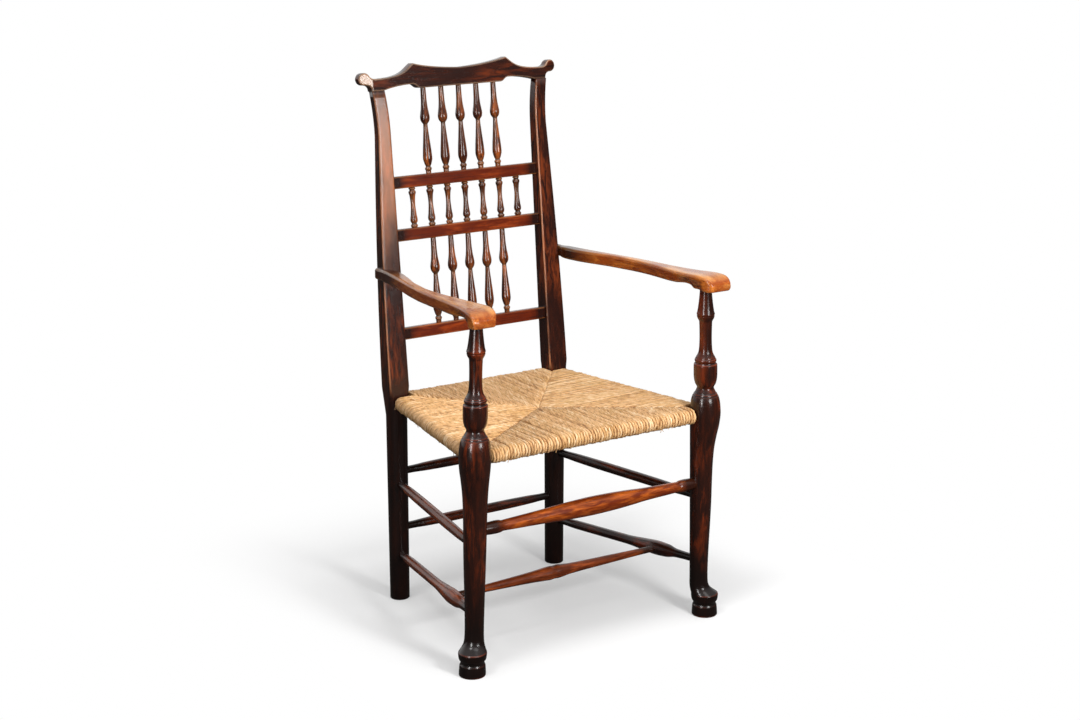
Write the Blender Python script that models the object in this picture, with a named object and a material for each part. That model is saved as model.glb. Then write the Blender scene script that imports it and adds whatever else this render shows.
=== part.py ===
"""Spindle back armchair with a rush seat.

Every piece of the chair is its own closed solid, joined to its neighbours by mortise and tenon,
lap and dowel. Metres, +Z up, the floor at z = 0. The chair faces -Y, so the sitter's left is +X.
"""
import math
from collections import defaultdict

import bmesh
import bpy
from mathutils import Matrix, Vector

# Fits
CLEARANCE = 0.0003  # gap left all round every tenon, dowel and shoulder
TENON_EDGE = 0.0006  # eased edges of the square tenons
FOOT_EDGE = 0.0015  # eased edges of the feet

# Stance
FRONT_SPREAD = 0.5478  # between the front feet, centre to centre
FRONT_LEAN = 0.0221  # inward lean of the front legs, per unit of height
FRONT_LEG_Y = -0.2272  # front leg axis
LEG_DEPTH = 0.4162  # front leg axis to rear leg axis
SEAT_RAIL_HEIGHT = 0.4195  # axis of the seat rails above the floor
ARM_UNDERSIDE = 0.6700  # where the arm sits on its support

# Front leg and arm support, one turning
PAD_RADIUS = 0.0254
PAD_TOP = 0.0505
PAD_GROOVE_HEIGHT = 0.0290
PAD_GROOVE_DEPTH = 0.0024
ANKLE_RADIUS = 0.0170
ANKLE_HEIGHT = 0.0850
KNEE_RADIUS = 0.0300
KNEE_RISE = 0.0040  # widest part of the knee above the rail axis
NECK_RADIUS = 0.0165
NECK_RISE = 0.0505  # neck above the widest part of the knee
BALUSTER_RADIUS = 0.0230
SUPPORT_SHAFT_RADIUS = 0.0119
CONE_RING_RADIUS = 0.0176
SUPPORT_TOP_RADIUS = 0.0112
SUPPORT_TENON_RADIUS = 0.0080
SUPPORT_TENON_LENGTH = 0.0130

# Rear post, back leg and upright in one length
REAR_FOOT_RADIUS = 0.0198
POST_INNER = 0.1682  # inner face of the upright from the middle plane
POST_SEAT_WIDTH = 0.0445
POST_WAIST_WIDTH = 0.0312
POST_TOP_WIDTH = 0.0268
POST_SEAT_DEPTH = 0.0370
POST_TOP_DEPTH = 0.0205
POST_FLARE = 0.0070  # outward sweep of the upright under the crest
POST_FLARE_HEIGHT = 0.0850  # length of that sweep
POST_CORNER = 0.0030  # worn corners
POST_SQUARE_RISE = 0.0300  # the leg turns from round to square this far either side of the rail axis
POST_TENON_WIDTH = 0.0130
POST_TENON_DEPTH = 0.0085
POST_TENON_LENGTH = 0.0130
BACK_RAKE = math.radians(6.2)

# Back rails and spindles, measured up the raked back
SEAT_GAP = 0.1215  # rail axis to the underside of the lower rail
BACK_RAIL_HEIGHT = 0.0238
BACK_RAIL_THICKNESS = 0.0160
BACK_RAIL_SETBACK = 0.0080  # behind the front face of the posts
BACK_RAIL_TENON_HEIGHT = 0.0150
BACK_RAIL_TENON_THICKNESS = 0.0080
BACK_RAIL_TENON_LENGTH = 0.0160
BACK_RAIL_EDGE = 0.0015  # eased edges
LOWER_SPINDLE_LENGTH = 0.1722
MIDDLE_SPINDLE_LENGTH = 0.0802
UPPER_SPINDLE_LENGTH = 0.1693
MIDDLE_ROW_COUNT = 7
OUTER_ROW_COUNT = 5  # spindles in the upper and in the lower row
SPINDLE_MARGIN = 0.0458  # post's inner face to the nearest spindle axis of the middle row
SPINDLE_NECK_RADIUS = 0.0044
SPINDLE_BULB_RADIUS = 0.0079
SPINDLE_TENON_RADIUS = 0.0038
SPINDLE_TENON_LENGTH = 0.0080

# Crest rail
CREST_THICKNESS = 0.0215
CREST_SETBACK = 0.0025  # behind the front face of the posts
CREST_CENTRE_HEIGHT = 0.0352
CREST_PEAK_HEIGHT = 0.0490
CREST_END_HEIGHT = 0.0238
CREST_SHOULDER_MARGIN = 0.0110  # flat underside beyond the last spindle
CREST_SHOULDER_RUN = 0.0200
CREST_SHOULDER_RISE = 0.0085
EAR_RADIUS = 0.0120
EAR_REACH = 0.0142  # centre of the scroll beyond the post's outer edge
EAR_RISE = 0.0247  # centre of the scroll above the crest's underside

# Arms
ARM_LAP_THICKNESS = 0.0122  # outside the post
ARM_LAP_INSIDE = 0.0020  # the arm's inner edge inside the post's outer face, before it is notched
ARM_LAP_LENGTH = 0.0150  # how far the lap runs back along the post
ARM_THICKNESS = 0.0225
ARM_RISE = 0.0045  # from the lap to the support
ARM_WAIST_HALF_WIDTH = 0.0100
ARM_HAND_HALF_WIDTH = 0.0290
ARM_HAND_CROWN = 0.0080  # top of the hand above the rest of the arm
ARM_HAND_REACH = 0.0390  # nose of the hand in front of the support axis
ARM_EDGE = 0.0035  # eased edges
ARM_DOWEL_RADIUS = 0.0040
ARM_DOWEL_HALF_LENGTH = 0.0100

# Seat
SEAT_RAIL_RADIUS = 0.0105
SEAT_RAIL_TENON_RADIUS = 0.0065
SEAT_RAIL_TENON_LENGTH = 0.0115
RUSH_WRAP = 0.0042  # thickness of the rush round a rail
RUSH_CENTRE_DIP = 0.0030  # how far the top falls from the rails to the middle
RUSH_MIDDLE_THICKNESS = 0.0240

# Stretchers
STRETCHER_TENON_LENGTH = 0.0140  # depth of the tenons in the legs
SIDE_UPPER_HEIGHT = 0.2480
SIDE_UPPER_RADIUS = 0.0098
FRONT_STRETCHER_RISE = 0.0305  # above the upper side stretchers
FRONT_STRETCHER_RADIUS = 0.0180
FRONT_STRETCHER_END_RADIUS = 0.0100
REAR_UPPER_RISE = 0.0220  # above the upper side stretchers
SIDE_LOWER_HEIGHT = 0.0970  # at the rear leg
SIDE_LOWER_CLIMB = 0.0180  # from the rear leg to the front leg
SIDE_LOWER_RADIUS = 0.0095
SIDE_LOWER_SWELL_RADIUS = 0.0146
SIDE_LOWER_SWELL_REACH = 0.1140  # swelling behind the front leg
SIDE_END_RADIUS = 0.0078
REAR_LOWER_RISE = 0.0540  # above the rear ends of the lower side stretchers
REAR_STRETCHER_RADIUS = 0.0100
REAR_END_RADIUS = 0.0076
MEDIAL_RADIUS = 0.0138
MEDIAL_END_RADIUS = 0.0065
MEDIAL_TENON_LENGTH = 0.0090

# Facets of the round pieces
LEG_SIDES = 16
STRETCHER_SIDES = 12
SPINDLE_SIDES = 8
SMOOTH_ANGLE = math.radians(35.0)

# Shapes, as a share of the length and a share of the swelling between the thin and the thick radius
LONG_SPINDLE = (
    (0.00, 0.17), (0.04, 0.23), (0.06, 0.46), (0.08, 0.09), (0.18, 0.94), (0.26, 0.80), (0.42, 0.34),
    (0.58, 0.00), (0.60, 0.51), (0.65, 1.00), (0.72, 0.74), (0.85, 0.34), (1.00, 0.17),
)
SHORT_SPINDLE = (
    (0.00, 0.17), (0.05, 0.54), (0.10, 0.11), (0.17, 0.57), (0.32, 0.31), (0.58, 0.03), (0.82, 0.29),
    (0.88, 0.57), (0.93, 0.11), (0.96, 0.46), (1.00, 0.17),
)
SHANK = (
    (0.00, 0.00), (0.18, 0.085), (0.31, 0.185), (0.47, 0.285), (0.58, 0.323), (0.69, 0.385), (0.78, 0.492),
    (0.87, 0.715), (0.93, 0.90), (1.00, 1.00),
)
KNEE_TOP = ((0.27, 0.83), (0.45, 0.73), (0.73, 0.37), (1.00, 0.00))
BALUSTER_FOOT = ((0.08, 0.50), (0.16, 0.90), (0.26, 1.00))
BALUSTER_TOP = ((0.30, 0.92), (0.33, 0.75), (0.36, 0.35), (0.40, 0.10), (0.51, 0.00))
CONE_FOOT = ((0.67, 0.12), (0.71, 0.75), (0.745, 1.00))
CONE_TOP = ((0.775, 0.78), (0.89, 0.30), (1.00, 0.00))
PLAIN_ROD = ((0.03, 0.00), (0.14, 0.60), (0.35, 1.00), (0.65, 1.00), (0.86, 0.60), (0.97, 0.00))
FRONT_ROD = (
    (0.02, 0.00), (0.06, 0.18), (0.10, 0.06), (0.25, 0.40), (0.40, 0.86), (0.50, 1.00),
    (0.60, 0.86), (0.75, 0.40), (0.90, 0.06), (0.94, 0.18), (0.98, 0.00),
)
MEDIAL_ROD = (
    (0.02, 0.00), (0.26, 0.28), (0.42, 0.82), (0.50, 1.00), (0.58, 0.82), (0.74, 0.28), (0.98, 0.00),
)

# Finishes: colour and roughness
FINISHES = {
    "leg": ((0.055, 0.018, 0.010, 1.0), 0.30),
    "post": ((0.065, 0.024, 0.016, 1.0), 0.32),
    "rail": ((0.120, 0.030, 0.014, 1.0), 0.34),
    "spindle": ((0.110, 0.038, 0.020, 1.0), 0.28),
    "arm": ((0.250, 0.105, 0.042, 1.0), 0.36),
    "stretcher": ((0.150, 0.048, 0.020, 1.0), 0.38),
    "hidden": ((0.260, 0.160, 0.085, 1.0), 0.60),
    "rush": ((0.640, 0.420, 0.210, 1.0), 0.75),
}

SIDES = {"left": 1.0, "right": -1.0}


def clear_scene():
    """Remove every object of the start-up scene."""
    for obj in list(bpy.data.objects):
        bpy.data.objects.remove(obj, do_unlink=True)


def finish_material(piece, finish):
    """Return the piece's own material in a named finish."""
    colour, roughness = FINISHES[finish]
    material = bpy.data.materials.new(f"{piece}_{finish}")
    material.use_nodes = True
    shader = material.node_tree.nodes["Principled BSDF"]
    shader.inputs["Base Color"].default_value = colour
    shader.inputs["Roughness"].default_value = roughness
    shader.inputs["Metallic"].default_value = 0.0
    return material


def point_outwards(bm):
    """Turn every face of a closed shape outwards."""
    bm.normal_update()
    bmesh.ops.recalc_face_normals(bm, faces=bm.faces[:])


def add_piece(name, bm, finish, matrix=None, parent=None):
    """Turn a bmesh into a named, smooth-shaded object."""
    point_outwards(bm)
    mesh = bpy.data.meshes.new(name)
    bm.to_mesh(mesh)
    bm.free()
    mesh.shade_smooth()
    mesh.set_sharp_from_angle(angle=SMOOTH_ANGLE)
    mesh.materials.append(finish_material(name, finish))
    obj = bpy.data.objects.new(name, mesh)
    bpy.context.scene.collection.objects.link(obj)
    obj.parent = parent
    if matrix is not None:
        obj.matrix_local = matrix


def cut(name, shapes):
    """Cut closed shapes, given in world space, out of a piece with one Boolean."""
    bm = bmesh.new()
    for shape in shapes:
        part = bpy.data.meshes.new("shape")
        point_outwards(shape)
        shape.to_mesh(part)
        shape.free()
        bm.from_mesh(part)
        bpy.data.meshes.remove(part)
    mesh = bpy.data.meshes.new(f"{name}_cuts")
    bm.to_mesh(mesh)
    bm.free()
    cutter = bpy.data.objects.new(f"{name}_cuts", mesh)
    bpy.context.scene.collection.objects.link(cutter)
    cutter.hide_render = True
    cutter.display_type = "WIRE"
    boolean = bpy.data.objects[name].modifiers.new("joints", "BOOLEAN")
    boolean.operation = "DIFFERENCE"
    boolean.solver = "EXACT"
    boolean.use_self = True
    boolean.object = cutter


def mix(first, second, share):
    """Return the value that lies a share of the way from first to second."""
    return first + (second - first) * share


def swelling(shape, thin, thick):
    """Turn the swellings of a shape into radii between thin and thick."""
    return [(share, mix(thin, thick, amount)) for share, amount in shape]


def along(start, end):
    """Return the matrix that lays local +Z from start towards end."""
    direction = end - start
    return Matrix.Translation(start) @ direction.to_track_quat("Z", "Y").to_matrix().to_4x4()


def turned(profile, sides):
    """Spin (height, radius) points about Z into a closed turning."""
    bm = bmesh.new()
    points = [(0.0, profile[0][0])] + [(r, z) for z, r in profile] + [(0.0, profile[-1][0])]
    verts = [bm.verts.new((r, 0.0, z)) for r, z in points]
    edges = [bm.edges.new(pair) for pair in zip(verts, verts[1:])]
    bmesh.ops.spin(
        bm, geom=verts + edges, cent=(0.0, 0.0, 0.0), axis=(0.0, 0.0, 1.0),
        angle=2.0 * math.pi, steps=sides, use_merge=True, use_duplicate=False,
    )
    bmesh.ops.remove_doubles(bm, verts=bm.verts[:], dist=1e-6)
    return bm


def lofted(loops):
    """Extrude a face through loops of matching points into a closed solid."""
    bm = bmesh.new()
    face = bm.faces.new([bm.verts.new(point) for point in loops[0]])
    spent = []
    for loop in loops[1:]:
        result = bmesh.ops.extrude_face_region(bm, geom=[face])
        face = next(item for item in result["geom"] if isinstance(item, bmesh.types.BMFace))
        for vert, point in zip(face.verts, loop):
            vert.co = point
        spent.append(face)
    bmesh.ops.delete(bm, geom=spent[:-1], context="FACES_ONLY")
    return bm


def mortise(tip, mouth, radius, sides):
    """Return a round mortise for a tenon with its tip and mouth given, run on past the mouth."""
    direction = (mouth - tip).normalized()
    bottom = tip - direction * CLEARANCE
    top = mouth + direction * radius
    hole_radius = (radius + CLEARANCE) / math.cos(math.pi / sides)
    bm = turned([(0.0, hole_radius), ((top - bottom).length, hole_radius)], sides)
    bm.transform(along(bottom, top))
    return bm


def block(low, high):
    """Return a box between two corners on the raked back, grown by the clearance on every side."""
    bm = bmesh.new()
    bmesh.ops.create_cube(bm, size=1.0)
    grow = Vector((CLEARANCE, CLEARANCE, CLEARANCE))
    low = Vector(low) - grow
    high = Vector(high) + grow
    bm.transform(BACK @ Matrix.Translation((low + high) / 2.0) @ Matrix.Diagonal((*(high - low), 1.0)))
    return bm


def bezier(points, steps):
    """Return steps points along a Bezier curve, the first point left out."""
    curve = []
    for step in range(1, steps + 1):
        share = step / steps
        level = [Vector(point) for point in points]
        while len(level) > 1:
            level = [a.lerp(b, share) for a, b in zip(level, level[1:])]
        curve.append(level[0])
    return curve


def ring(centre, radius, sides):
    """Return the points of a level circle, with a flat towards +X."""
    turns = [2.0 * math.pi * (index + 0.5) / sides for index in range(sides)]
    return [centre + Vector((radius * math.cos(a), radius * math.sin(a), 0.0)) for a in turns]


def eased_box(half_x, half_y, edge):
    """Return sixteen points round a rectangle with eased corners, in the order of ring()."""
    quarter = (
        (half_x, half_y / 3.0), (half_x, half_y - edge), (half_x - edge, half_y), (half_x / 3.0, half_y),
    )
    points = [Vector((x, y, 0.0)) for x, y in quarter]
    points += [Vector((-x, y, 0.0)) for x, y in reversed(quarter)]
    return points + [Vector((-point.x, -point.y, 0.0)) for point in points]


# Rear posts and the raked back

REAR_LEG_X = POST_INNER + POST_SEAT_WIDTH / 2.0
REAR_LEG_Y = FRONT_LEG_Y + LEG_DEPTH
BACK_FOOT = Vector((0.0, REAR_LEG_Y - POST_SEAT_DEPTH / 2.0, SEAT_RAIL_HEIGHT))
BACK = Matrix.Translation(BACK_FOOT) @ Matrix.Rotation(-BACK_RAKE, 4, "X")
LOWER_RAIL = SEAT_GAP
MIDDLE_RAIL = LOWER_RAIL + BACK_RAIL_HEIGHT + LOWER_SPINDLE_LENGTH
UPPER_RAIL = MIDDLE_RAIL + BACK_RAIL_HEIGHT + MIDDLE_SPINDLE_LENGTH
WAIST = UPPER_RAIL + BACK_RAIL_HEIGHT
CREST = WAIST + UPPER_SPINDLE_LENGTH
FLARE_START = CREST - POST_FLARE_HEIGHT
SPINDLE_AXIS = BACK_RAIL_SETBACK + BACK_RAIL_THICKNESS / 2.0
SPINDLE_PITCH = 2.0 * (POST_INNER - SPINDLE_MARGIN) / (MIDDLE_ROW_COUNT - 1)
WIDTH_TAPER = 1.7  # power of the height: the upright narrows slowly at first
SHOULDER_STEPS = 4  # loops between the round leg and the square upright


def post_inner(height):
    """Return the inner face of the upright at a height up the back."""
    above = max(0.0, height - FLARE_START) / POST_FLARE_HEIGHT
    return POST_INNER + POST_FLARE * above ** 2


def post_width(height):
    """Return the width of the upright at a height up the back."""
    if height <= WAIST:
        return mix(POST_SEAT_WIDTH, POST_WAIST_WIDTH, (max(0.0, height) / WAIST) ** WIDTH_TAPER)
    return mix(POST_WAIST_WIDTH, POST_TOP_WIDTH, min(1.0, (height - WAIST) / (FLARE_START - WAIST)))


def post_depth(height):
    """Return the depth of the upright at a height up the back."""
    return mix(POST_SEAT_DEPTH, POST_TOP_DEPTH, max(0.0, height) / CREST)


def post_section(height, side, grow=0.0):
    """Return the points round the upright at a height up the back, in world space."""
    width = post_width(height)
    depth = post_depth(height)
    centre = Vector((side * (post_inner(height) + width / 2.0), depth / 2.0, height))
    outline = eased_box(width / 2.0 + grow, depth / 2.0 + grow, POST_CORNER)
    return [BACK @ (centre + point) for point in outline]


def rear_leg(height, side):
    """Return the centre and the radius of the round back leg at a height above the floor."""
    top_radius = POST_SEAT_DEPTH / 2.0 + POST_CORNER
    radius = mix(REAR_FOOT_RADIUS, top_radius, height / SEAT_RAIL_HEIGHT)
    return Vector((side * REAR_LEG_X, REAR_LEG_Y, height)), radius


def post_shoulders(side, grow=0.0):
    """Return the loops over which the round leg turns square."""
    centre, radius = rear_leg(SEAT_RAIL_HEIGHT - POST_SQUARE_RISE, side)
    square = post_section(POST_SQUARE_RISE, side, grow)
    circle = ring(centre, radius + grow, len(square))
    shares = [step / SHOULDER_STEPS for step in range(SHOULDER_STEPS + 1)]
    return [[a.lerp(b, share) for a, b in zip(circle, square)] for share in shares]


def post_tenon(side):
    """Return the low and high corners of the tenon on the post top, up the back."""
    x = side * (post_inner(CREST) + POST_TOP_WIDTH / 2.0)
    low = Vector((x - POST_TENON_WIDTH / 2.0, (POST_TOP_DEPTH - POST_TENON_DEPTH) / 2.0, CREST))
    return low, low + Vector((POST_TENON_WIDTH, POST_TENON_DEPTH, POST_TENON_LENGTH))


def make_posts():
    """Make both posts: round leg, raked square upright and the tenon on top."""
    for name, side in SIDES.items():
        shoulders = post_shoulders(side)
        sides = len(shoulders[0])
        foot, foot_radius = rear_leg(0.0, side)
        ankle, ankle_radius = rear_leg(FOOT_EDGE, side)
        loops = [ring(foot, foot_radius - FOOT_EDGE, sides), ring(ankle, ankle_radius, sides)] + shoulders
        levels = [LOWER_RAIL, mix(LOWER_RAIL, MIDDLE_RAIL, 0.5), MIDDLE_RAIL, UPPER_RAIL, WAIST]
        levels += [mix(FLARE_START, CREST, share) for share in (0.0, 0.35, 0.7, 1.0)]
        loops += [post_section(height, side) for height in levels]
        low, high = post_tenon(side)
        half = (high - low) / 2.0
        outline = eased_box(half.x, half.y, TENON_EDGE)
        for height in (low.z, high.z):
            centre = Vector((low.x + half.x, low.y + half.y, height))
            loops.append([BACK @ (centre + point) for point in outline])
        add_piece(f"rear_post_{name}", lofted(loops), "post")


# Front legs

KNEE_HEIGHT = SEAT_RAIL_HEIGHT + KNEE_RISE
NECK_HEIGHT = KNEE_HEIGHT + NECK_RISE


def front_axis(height, side):
    """Return the point of a front leg's turning axis at a height."""
    return Vector((side * (FRONT_SPREAD / 2.0 - FRONT_LEAN * height), FRONT_LEG_Y, height))


def inward(side):
    """Return the level diagonal from a front leg towards the middle of the seat."""
    return Vector((-side, 1.0, 0.0)).normalized()


def shank(height, side):
    """Return the centre and radius of the club shank, which leaves the axis towards its inner side."""
    share = max(0.0, (height - ANKLE_HEIGHT) / (KNEE_HEIGHT - ANKLE_HEIGHT))
    for (low, start), (high, end) in zip(SHANK, SHANK[1:]):
        if share <= high:
            amount = mix(start, end, (share - low) / (high - low))
            break
    radius = mix(ANKLE_RADIUS, KNEE_RADIUS, amount)
    return front_axis(height, side) + inward(side) * (KNEE_RADIUS - radius), radius


def foot_rings(side):
    """Return (centre, radius) rings of the pad foot and of the ankle's hollow."""
    groove = 2.0 * PAD_GROOVE_DEPTH
    outline = (
        (0.0, PAD_RADIUS - FOOT_EDGE), (FOOT_EDGE, PAD_RADIUS), (PAD_GROOVE_HEIGHT - groove, PAD_RADIUS),
        (PAD_GROOVE_HEIGHT, PAD_RADIUS - PAD_GROOVE_DEPTH), (PAD_GROOVE_HEIGHT + groove, PAD_RADIUS),
        (PAD_TOP - FOOT_EDGE, PAD_RADIUS), (PAD_TOP, PAD_RADIUS - FOOT_EDGE),
    )
    rings = [(front_axis(height, side), radius) for height, radius in outline]
    offset = inward(side) * (KNEE_RADIUS - ANKLE_RADIUS)
    for rise, spread, shift in ((0.08, 0.60, 0.45), (0.45, 0.10, 0.90)):
        centre = front_axis(mix(PAD_TOP, ANKLE_HEIGHT, rise), side) + offset * shift
        rings.append((centre, mix(ANKLE_RADIUS, PAD_RADIUS - FOOT_EDGE, spread)))
    return rings


def make_front_legs():
    """Make both front legs, from the pad foot to the tenon that enters the arm."""
    support_top = ARM_UNDERSIDE - CLEARANCE
    support = swelling(BALUSTER_FOOT, NECK_RADIUS, BALUSTER_RADIUS)
    support += swelling(BALUSTER_TOP, SUPPORT_SHAFT_RADIUS, BALUSTER_RADIUS)
    support += swelling(CONE_FOOT, SUPPORT_SHAFT_RADIUS, CONE_RING_RADIUS)
    support += swelling(CONE_TOP, SUPPORT_TOP_RADIUS, CONE_RING_RADIUS)
    for name, side in SIDES.items():
        rings = foot_rings(side)
        rings += [shank(mix(ANKLE_HEIGHT, KNEE_HEIGHT, share), side) for share, _ in SHANK]
        for share, radius in swelling(KNEE_TOP, NECK_RADIUS, KNEE_RADIUS):
            rings.append((front_axis(mix(KNEE_HEIGHT, NECK_HEIGHT, share), side), radius))
        for share, radius in support:
            rings.append((front_axis(mix(NECK_HEIGHT, support_top, share), side), radius))
        for height in (support_top, ARM_UNDERSIDE + SUPPORT_TENON_LENGTH):
            rings.append((front_axis(height, side), SUPPORT_TENON_RADIUS))
        loops = [ring(centre, radius, LEG_SIDES) for centre, radius in rings]
        add_piece(f"front_leg_{name}", lofted(loops), "leg")


# Rods between the legs


def make_rod(name, ends, shape, tenon_radius, tenon_length, finish, hosts, cuts):
    """Turn a rod between two pieces and add the mortises for its tenons to the cuts.

    ends holds, for both ends, the centre of the piece that the rod enters and the reach from there to
    its surface. shape holds the share of the free length and the radius. hosts names the two pieces.
    """
    (first, first_reach), (last, last_reach) = ends
    direction = (last - first).normalized()
    start = first + direction * (first_reach - tenon_length)
    end = last - direction * (last_reach - tenon_length)
    free = (last - first).length - first_reach - last_reach
    profile = [(0.0, tenon_radius)]
    profile += [(tenon_length + free * share, radius) for share, radius in shape]
    profile += [((end - start).length, tenon_radius)]
    add_piece(name, turned(profile, STRETCHER_SIDES), finish, along(start, end))
    mouths = (first + direction * first_reach, last - direction * last_reach)
    for host, tip, mouth in zip(hosts, (start, end), mouths):
        cuts[host].append(mortise(tip, mouth, tenon_radius, STRETCHER_SIDES))


def make_cross_rod(name, height, leg, host, shape, tenon_radius, cuts):
    """Make a stretcher between a right leg and a left leg at one height."""
    ends = [leg(height, side) for side in (SIDES["right"], SIDES["left"])]
    hosts = (f"{host}_right", f"{host}_left")
    make_rod(name, ends, shape, tenon_radius, STRETCHER_TENON_LENGTH, "stretcher", hosts, cuts)


def make_stretchers(cuts):
    """Make the eight stretchers."""
    rear_shape = swelling(PLAIN_ROD, REAR_END_RADIUS, REAR_STRETCHER_RADIUS)
    rear_heights = {
        "upper": SIDE_UPPER_HEIGHT + REAR_UPPER_RISE,
        "lower": SIDE_LOWER_HEIGHT + REAR_LOWER_RISE,
    }
    for level, height in rear_heights.items():
        name = f"rear_stretcher_{level}"
        make_cross_rod(name, height, rear_leg, "rear_post", rear_shape, REAR_END_RADIUS, cuts)
    front_shape = swelling(FRONT_ROD, FRONT_STRETCHER_END_RADIUS, FRONT_STRETCHER_RADIUS)
    front = SIDE_UPPER_HEIGHT + FRONT_STRETCHER_RISE
    make_cross_rod(
        "front_stretcher", front, shank, "front_leg", front_shape, FRONT_STRETCHER_END_RADIUS, cuts
    )
    swells = {}
    for name, side in SIDES.items():
        hosts = (f"rear_post_{name}", f"front_leg_{name}")
        ends = (rear_leg(SIDE_UPPER_HEIGHT, side), shank(SIDE_UPPER_HEIGHT, side))
        shape = swelling(PLAIN_ROD, SIDE_END_RADIUS, SIDE_UPPER_RADIUS)
        make_rod(
            f"side_stretcher_upper_{name}", ends, shape, SIDE_END_RADIUS, STRETCHER_TENON_LENGTH,
            "stretcher", hosts, cuts,
        )
        ends = (rear_leg(SIDE_LOWER_HEIGHT, side), shank(SIDE_LOWER_HEIGHT + SIDE_LOWER_CLIMB, side))
        make_rod(
            f"side_stretcher_lower_{name}", ends, side_lower_shape(ends), SIDE_END_RADIUS,
            STRETCHER_TENON_LENGTH, "stretcher", hosts, cuts,
        )
        rear_end, front_end = (end[0] for end in ends)
        swells[name] = front_end + (rear_end - front_end).normalized() * SIDE_LOWER_SWELL_REACH
    ends = [(swells[name], SIDE_LOWER_SWELL_RADIUS) for name in ("right", "left")]
    hosts = ("side_stretcher_lower_right", "side_stretcher_lower_left")
    shape = swelling(MEDIAL_ROD, MEDIAL_END_RADIUS, MEDIAL_RADIUS)
    make_rod(
        "medial_stretcher", ends, shape, MEDIAL_END_RADIUS, MEDIAL_TENON_LENGTH, "stretcher", hosts, cuts
    )


def side_lower_shape(ends):
    """Return the shape of a lower side stretcher, which swells where the medial one enters it."""
    (rear, rear_reach), (front, front_reach) = ends
    free = (front - rear).length - rear_reach - front_reach
    swell = 1.0 - (SIDE_LOWER_SWELL_REACH - front_reach) / free
    shape = [(0.03, SIDE_END_RADIUS)]
    shape.append((0.18 * swell, mix(SIDE_END_RADIUS, SIDE_LOWER_RADIUS, 0.8)))
    shape.append((0.70 * swell, SIDE_LOWER_RADIUS))
    shape.append((0.88 * swell, mix(SIDE_LOWER_RADIUS, SIDE_LOWER_SWELL_RADIUS, 0.6)))
    shape.append((swell, SIDE_LOWER_SWELL_RADIUS))
    shape.append((mix(swell, 1.0, 0.30), mix(SIDE_END_RADIUS, SIDE_LOWER_SWELL_RADIUS, 0.8)))
    shape.append((mix(swell, 1.0, 0.55), mix(SIDE_END_RADIUS, SIDE_LOWER_SWELL_RADIUS, 0.15)))
    shape.append((0.97, SIDE_END_RADIUS))
    return shape


# Seat

# Corners anticlockwise from above: front or not, and the side
SEAT_CORNERS = ((True, "right"), (True, "left"), (False, "left"), (False, "right"))
SEAT_RAILS = ("front", "left", "rear", "right")  # each from its corner to the next
RUSH_SIDE_STEPS = 5
RUSH_ROLL_STEPS = 6


def seat_corner(front, name):
    """Return the meeting point of two rail axes and the reach to the wood round it."""
    if front:
        return front_axis(SEAT_RAIL_HEIGHT, SIDES[name]), KNEE_RADIUS
    centre, radius = rear_leg(SEAT_RAIL_HEIGHT, SIDES[name])
    return centre, max(radius, POST_SEAT_WIDTH / 2.0)


def make_seat_rails(cuts):
    """Make the four rails that the rush is wrapped round."""
    for index, rail in enumerate(SEAT_RAILS):
        route = (SEAT_CORNERS[index], SEAT_CORNERS[(index + 1) % len(SEAT_CORNERS)])
        ends = [seat_corner(*corner) for corner in route]
        hosts = [f"front_leg_{name}" if front else f"rear_post_{name}" for front, name in route]
        free = (ends[1][0] - ends[0][0]).length - ends[0][1] - ends[1][1]
        gap = CLEARANCE / free
        shape = (
            (gap, SEAT_RAIL_TENON_RADIUS), (gap, SEAT_RAIL_RADIUS),
            (1.0 - gap, SEAT_RAIL_RADIUS), (1.0 - gap, SEAT_RAIL_TENON_RADIUS),
        )
        make_rod(
            f"seat_rail_{rail}", ends, shape, SEAT_RAIL_TENON_RADIUS, SEAT_RAIL_TENON_LENGTH,
            "hidden", hosts, cuts,
        )


def seat_loop(corners, offset, share, rise):
    """Return points round the seat, moved out by an offset and scaled about the middle by a share."""
    middle = sum(corners, Vector()) / len(corners)
    moved = []
    for index, corner in enumerate(corners):
        before = (corner - corners[index - 1]).normalized()
        after = (corners[(index + 1) % len(corners)] - corner).normalized()
        out_before = Vector((before.y, -before.x, 0.0))
        out_after = Vector((after.y, -after.x, 0.0))
        shift = (out_before + out_after) * offset / (1.0 + out_before.dot(out_after))
        moved.append(middle.lerp(corner + shift, share) + Vector((0.0, 0.0, rise)))
    points = []
    for first, second in zip(moved, moved[1:] + moved[:1]):
        points += [first.lerp(second, step / RUSH_SIDE_STEPS) for step in range(RUSH_SIDE_STEPS)]
    return points


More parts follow.
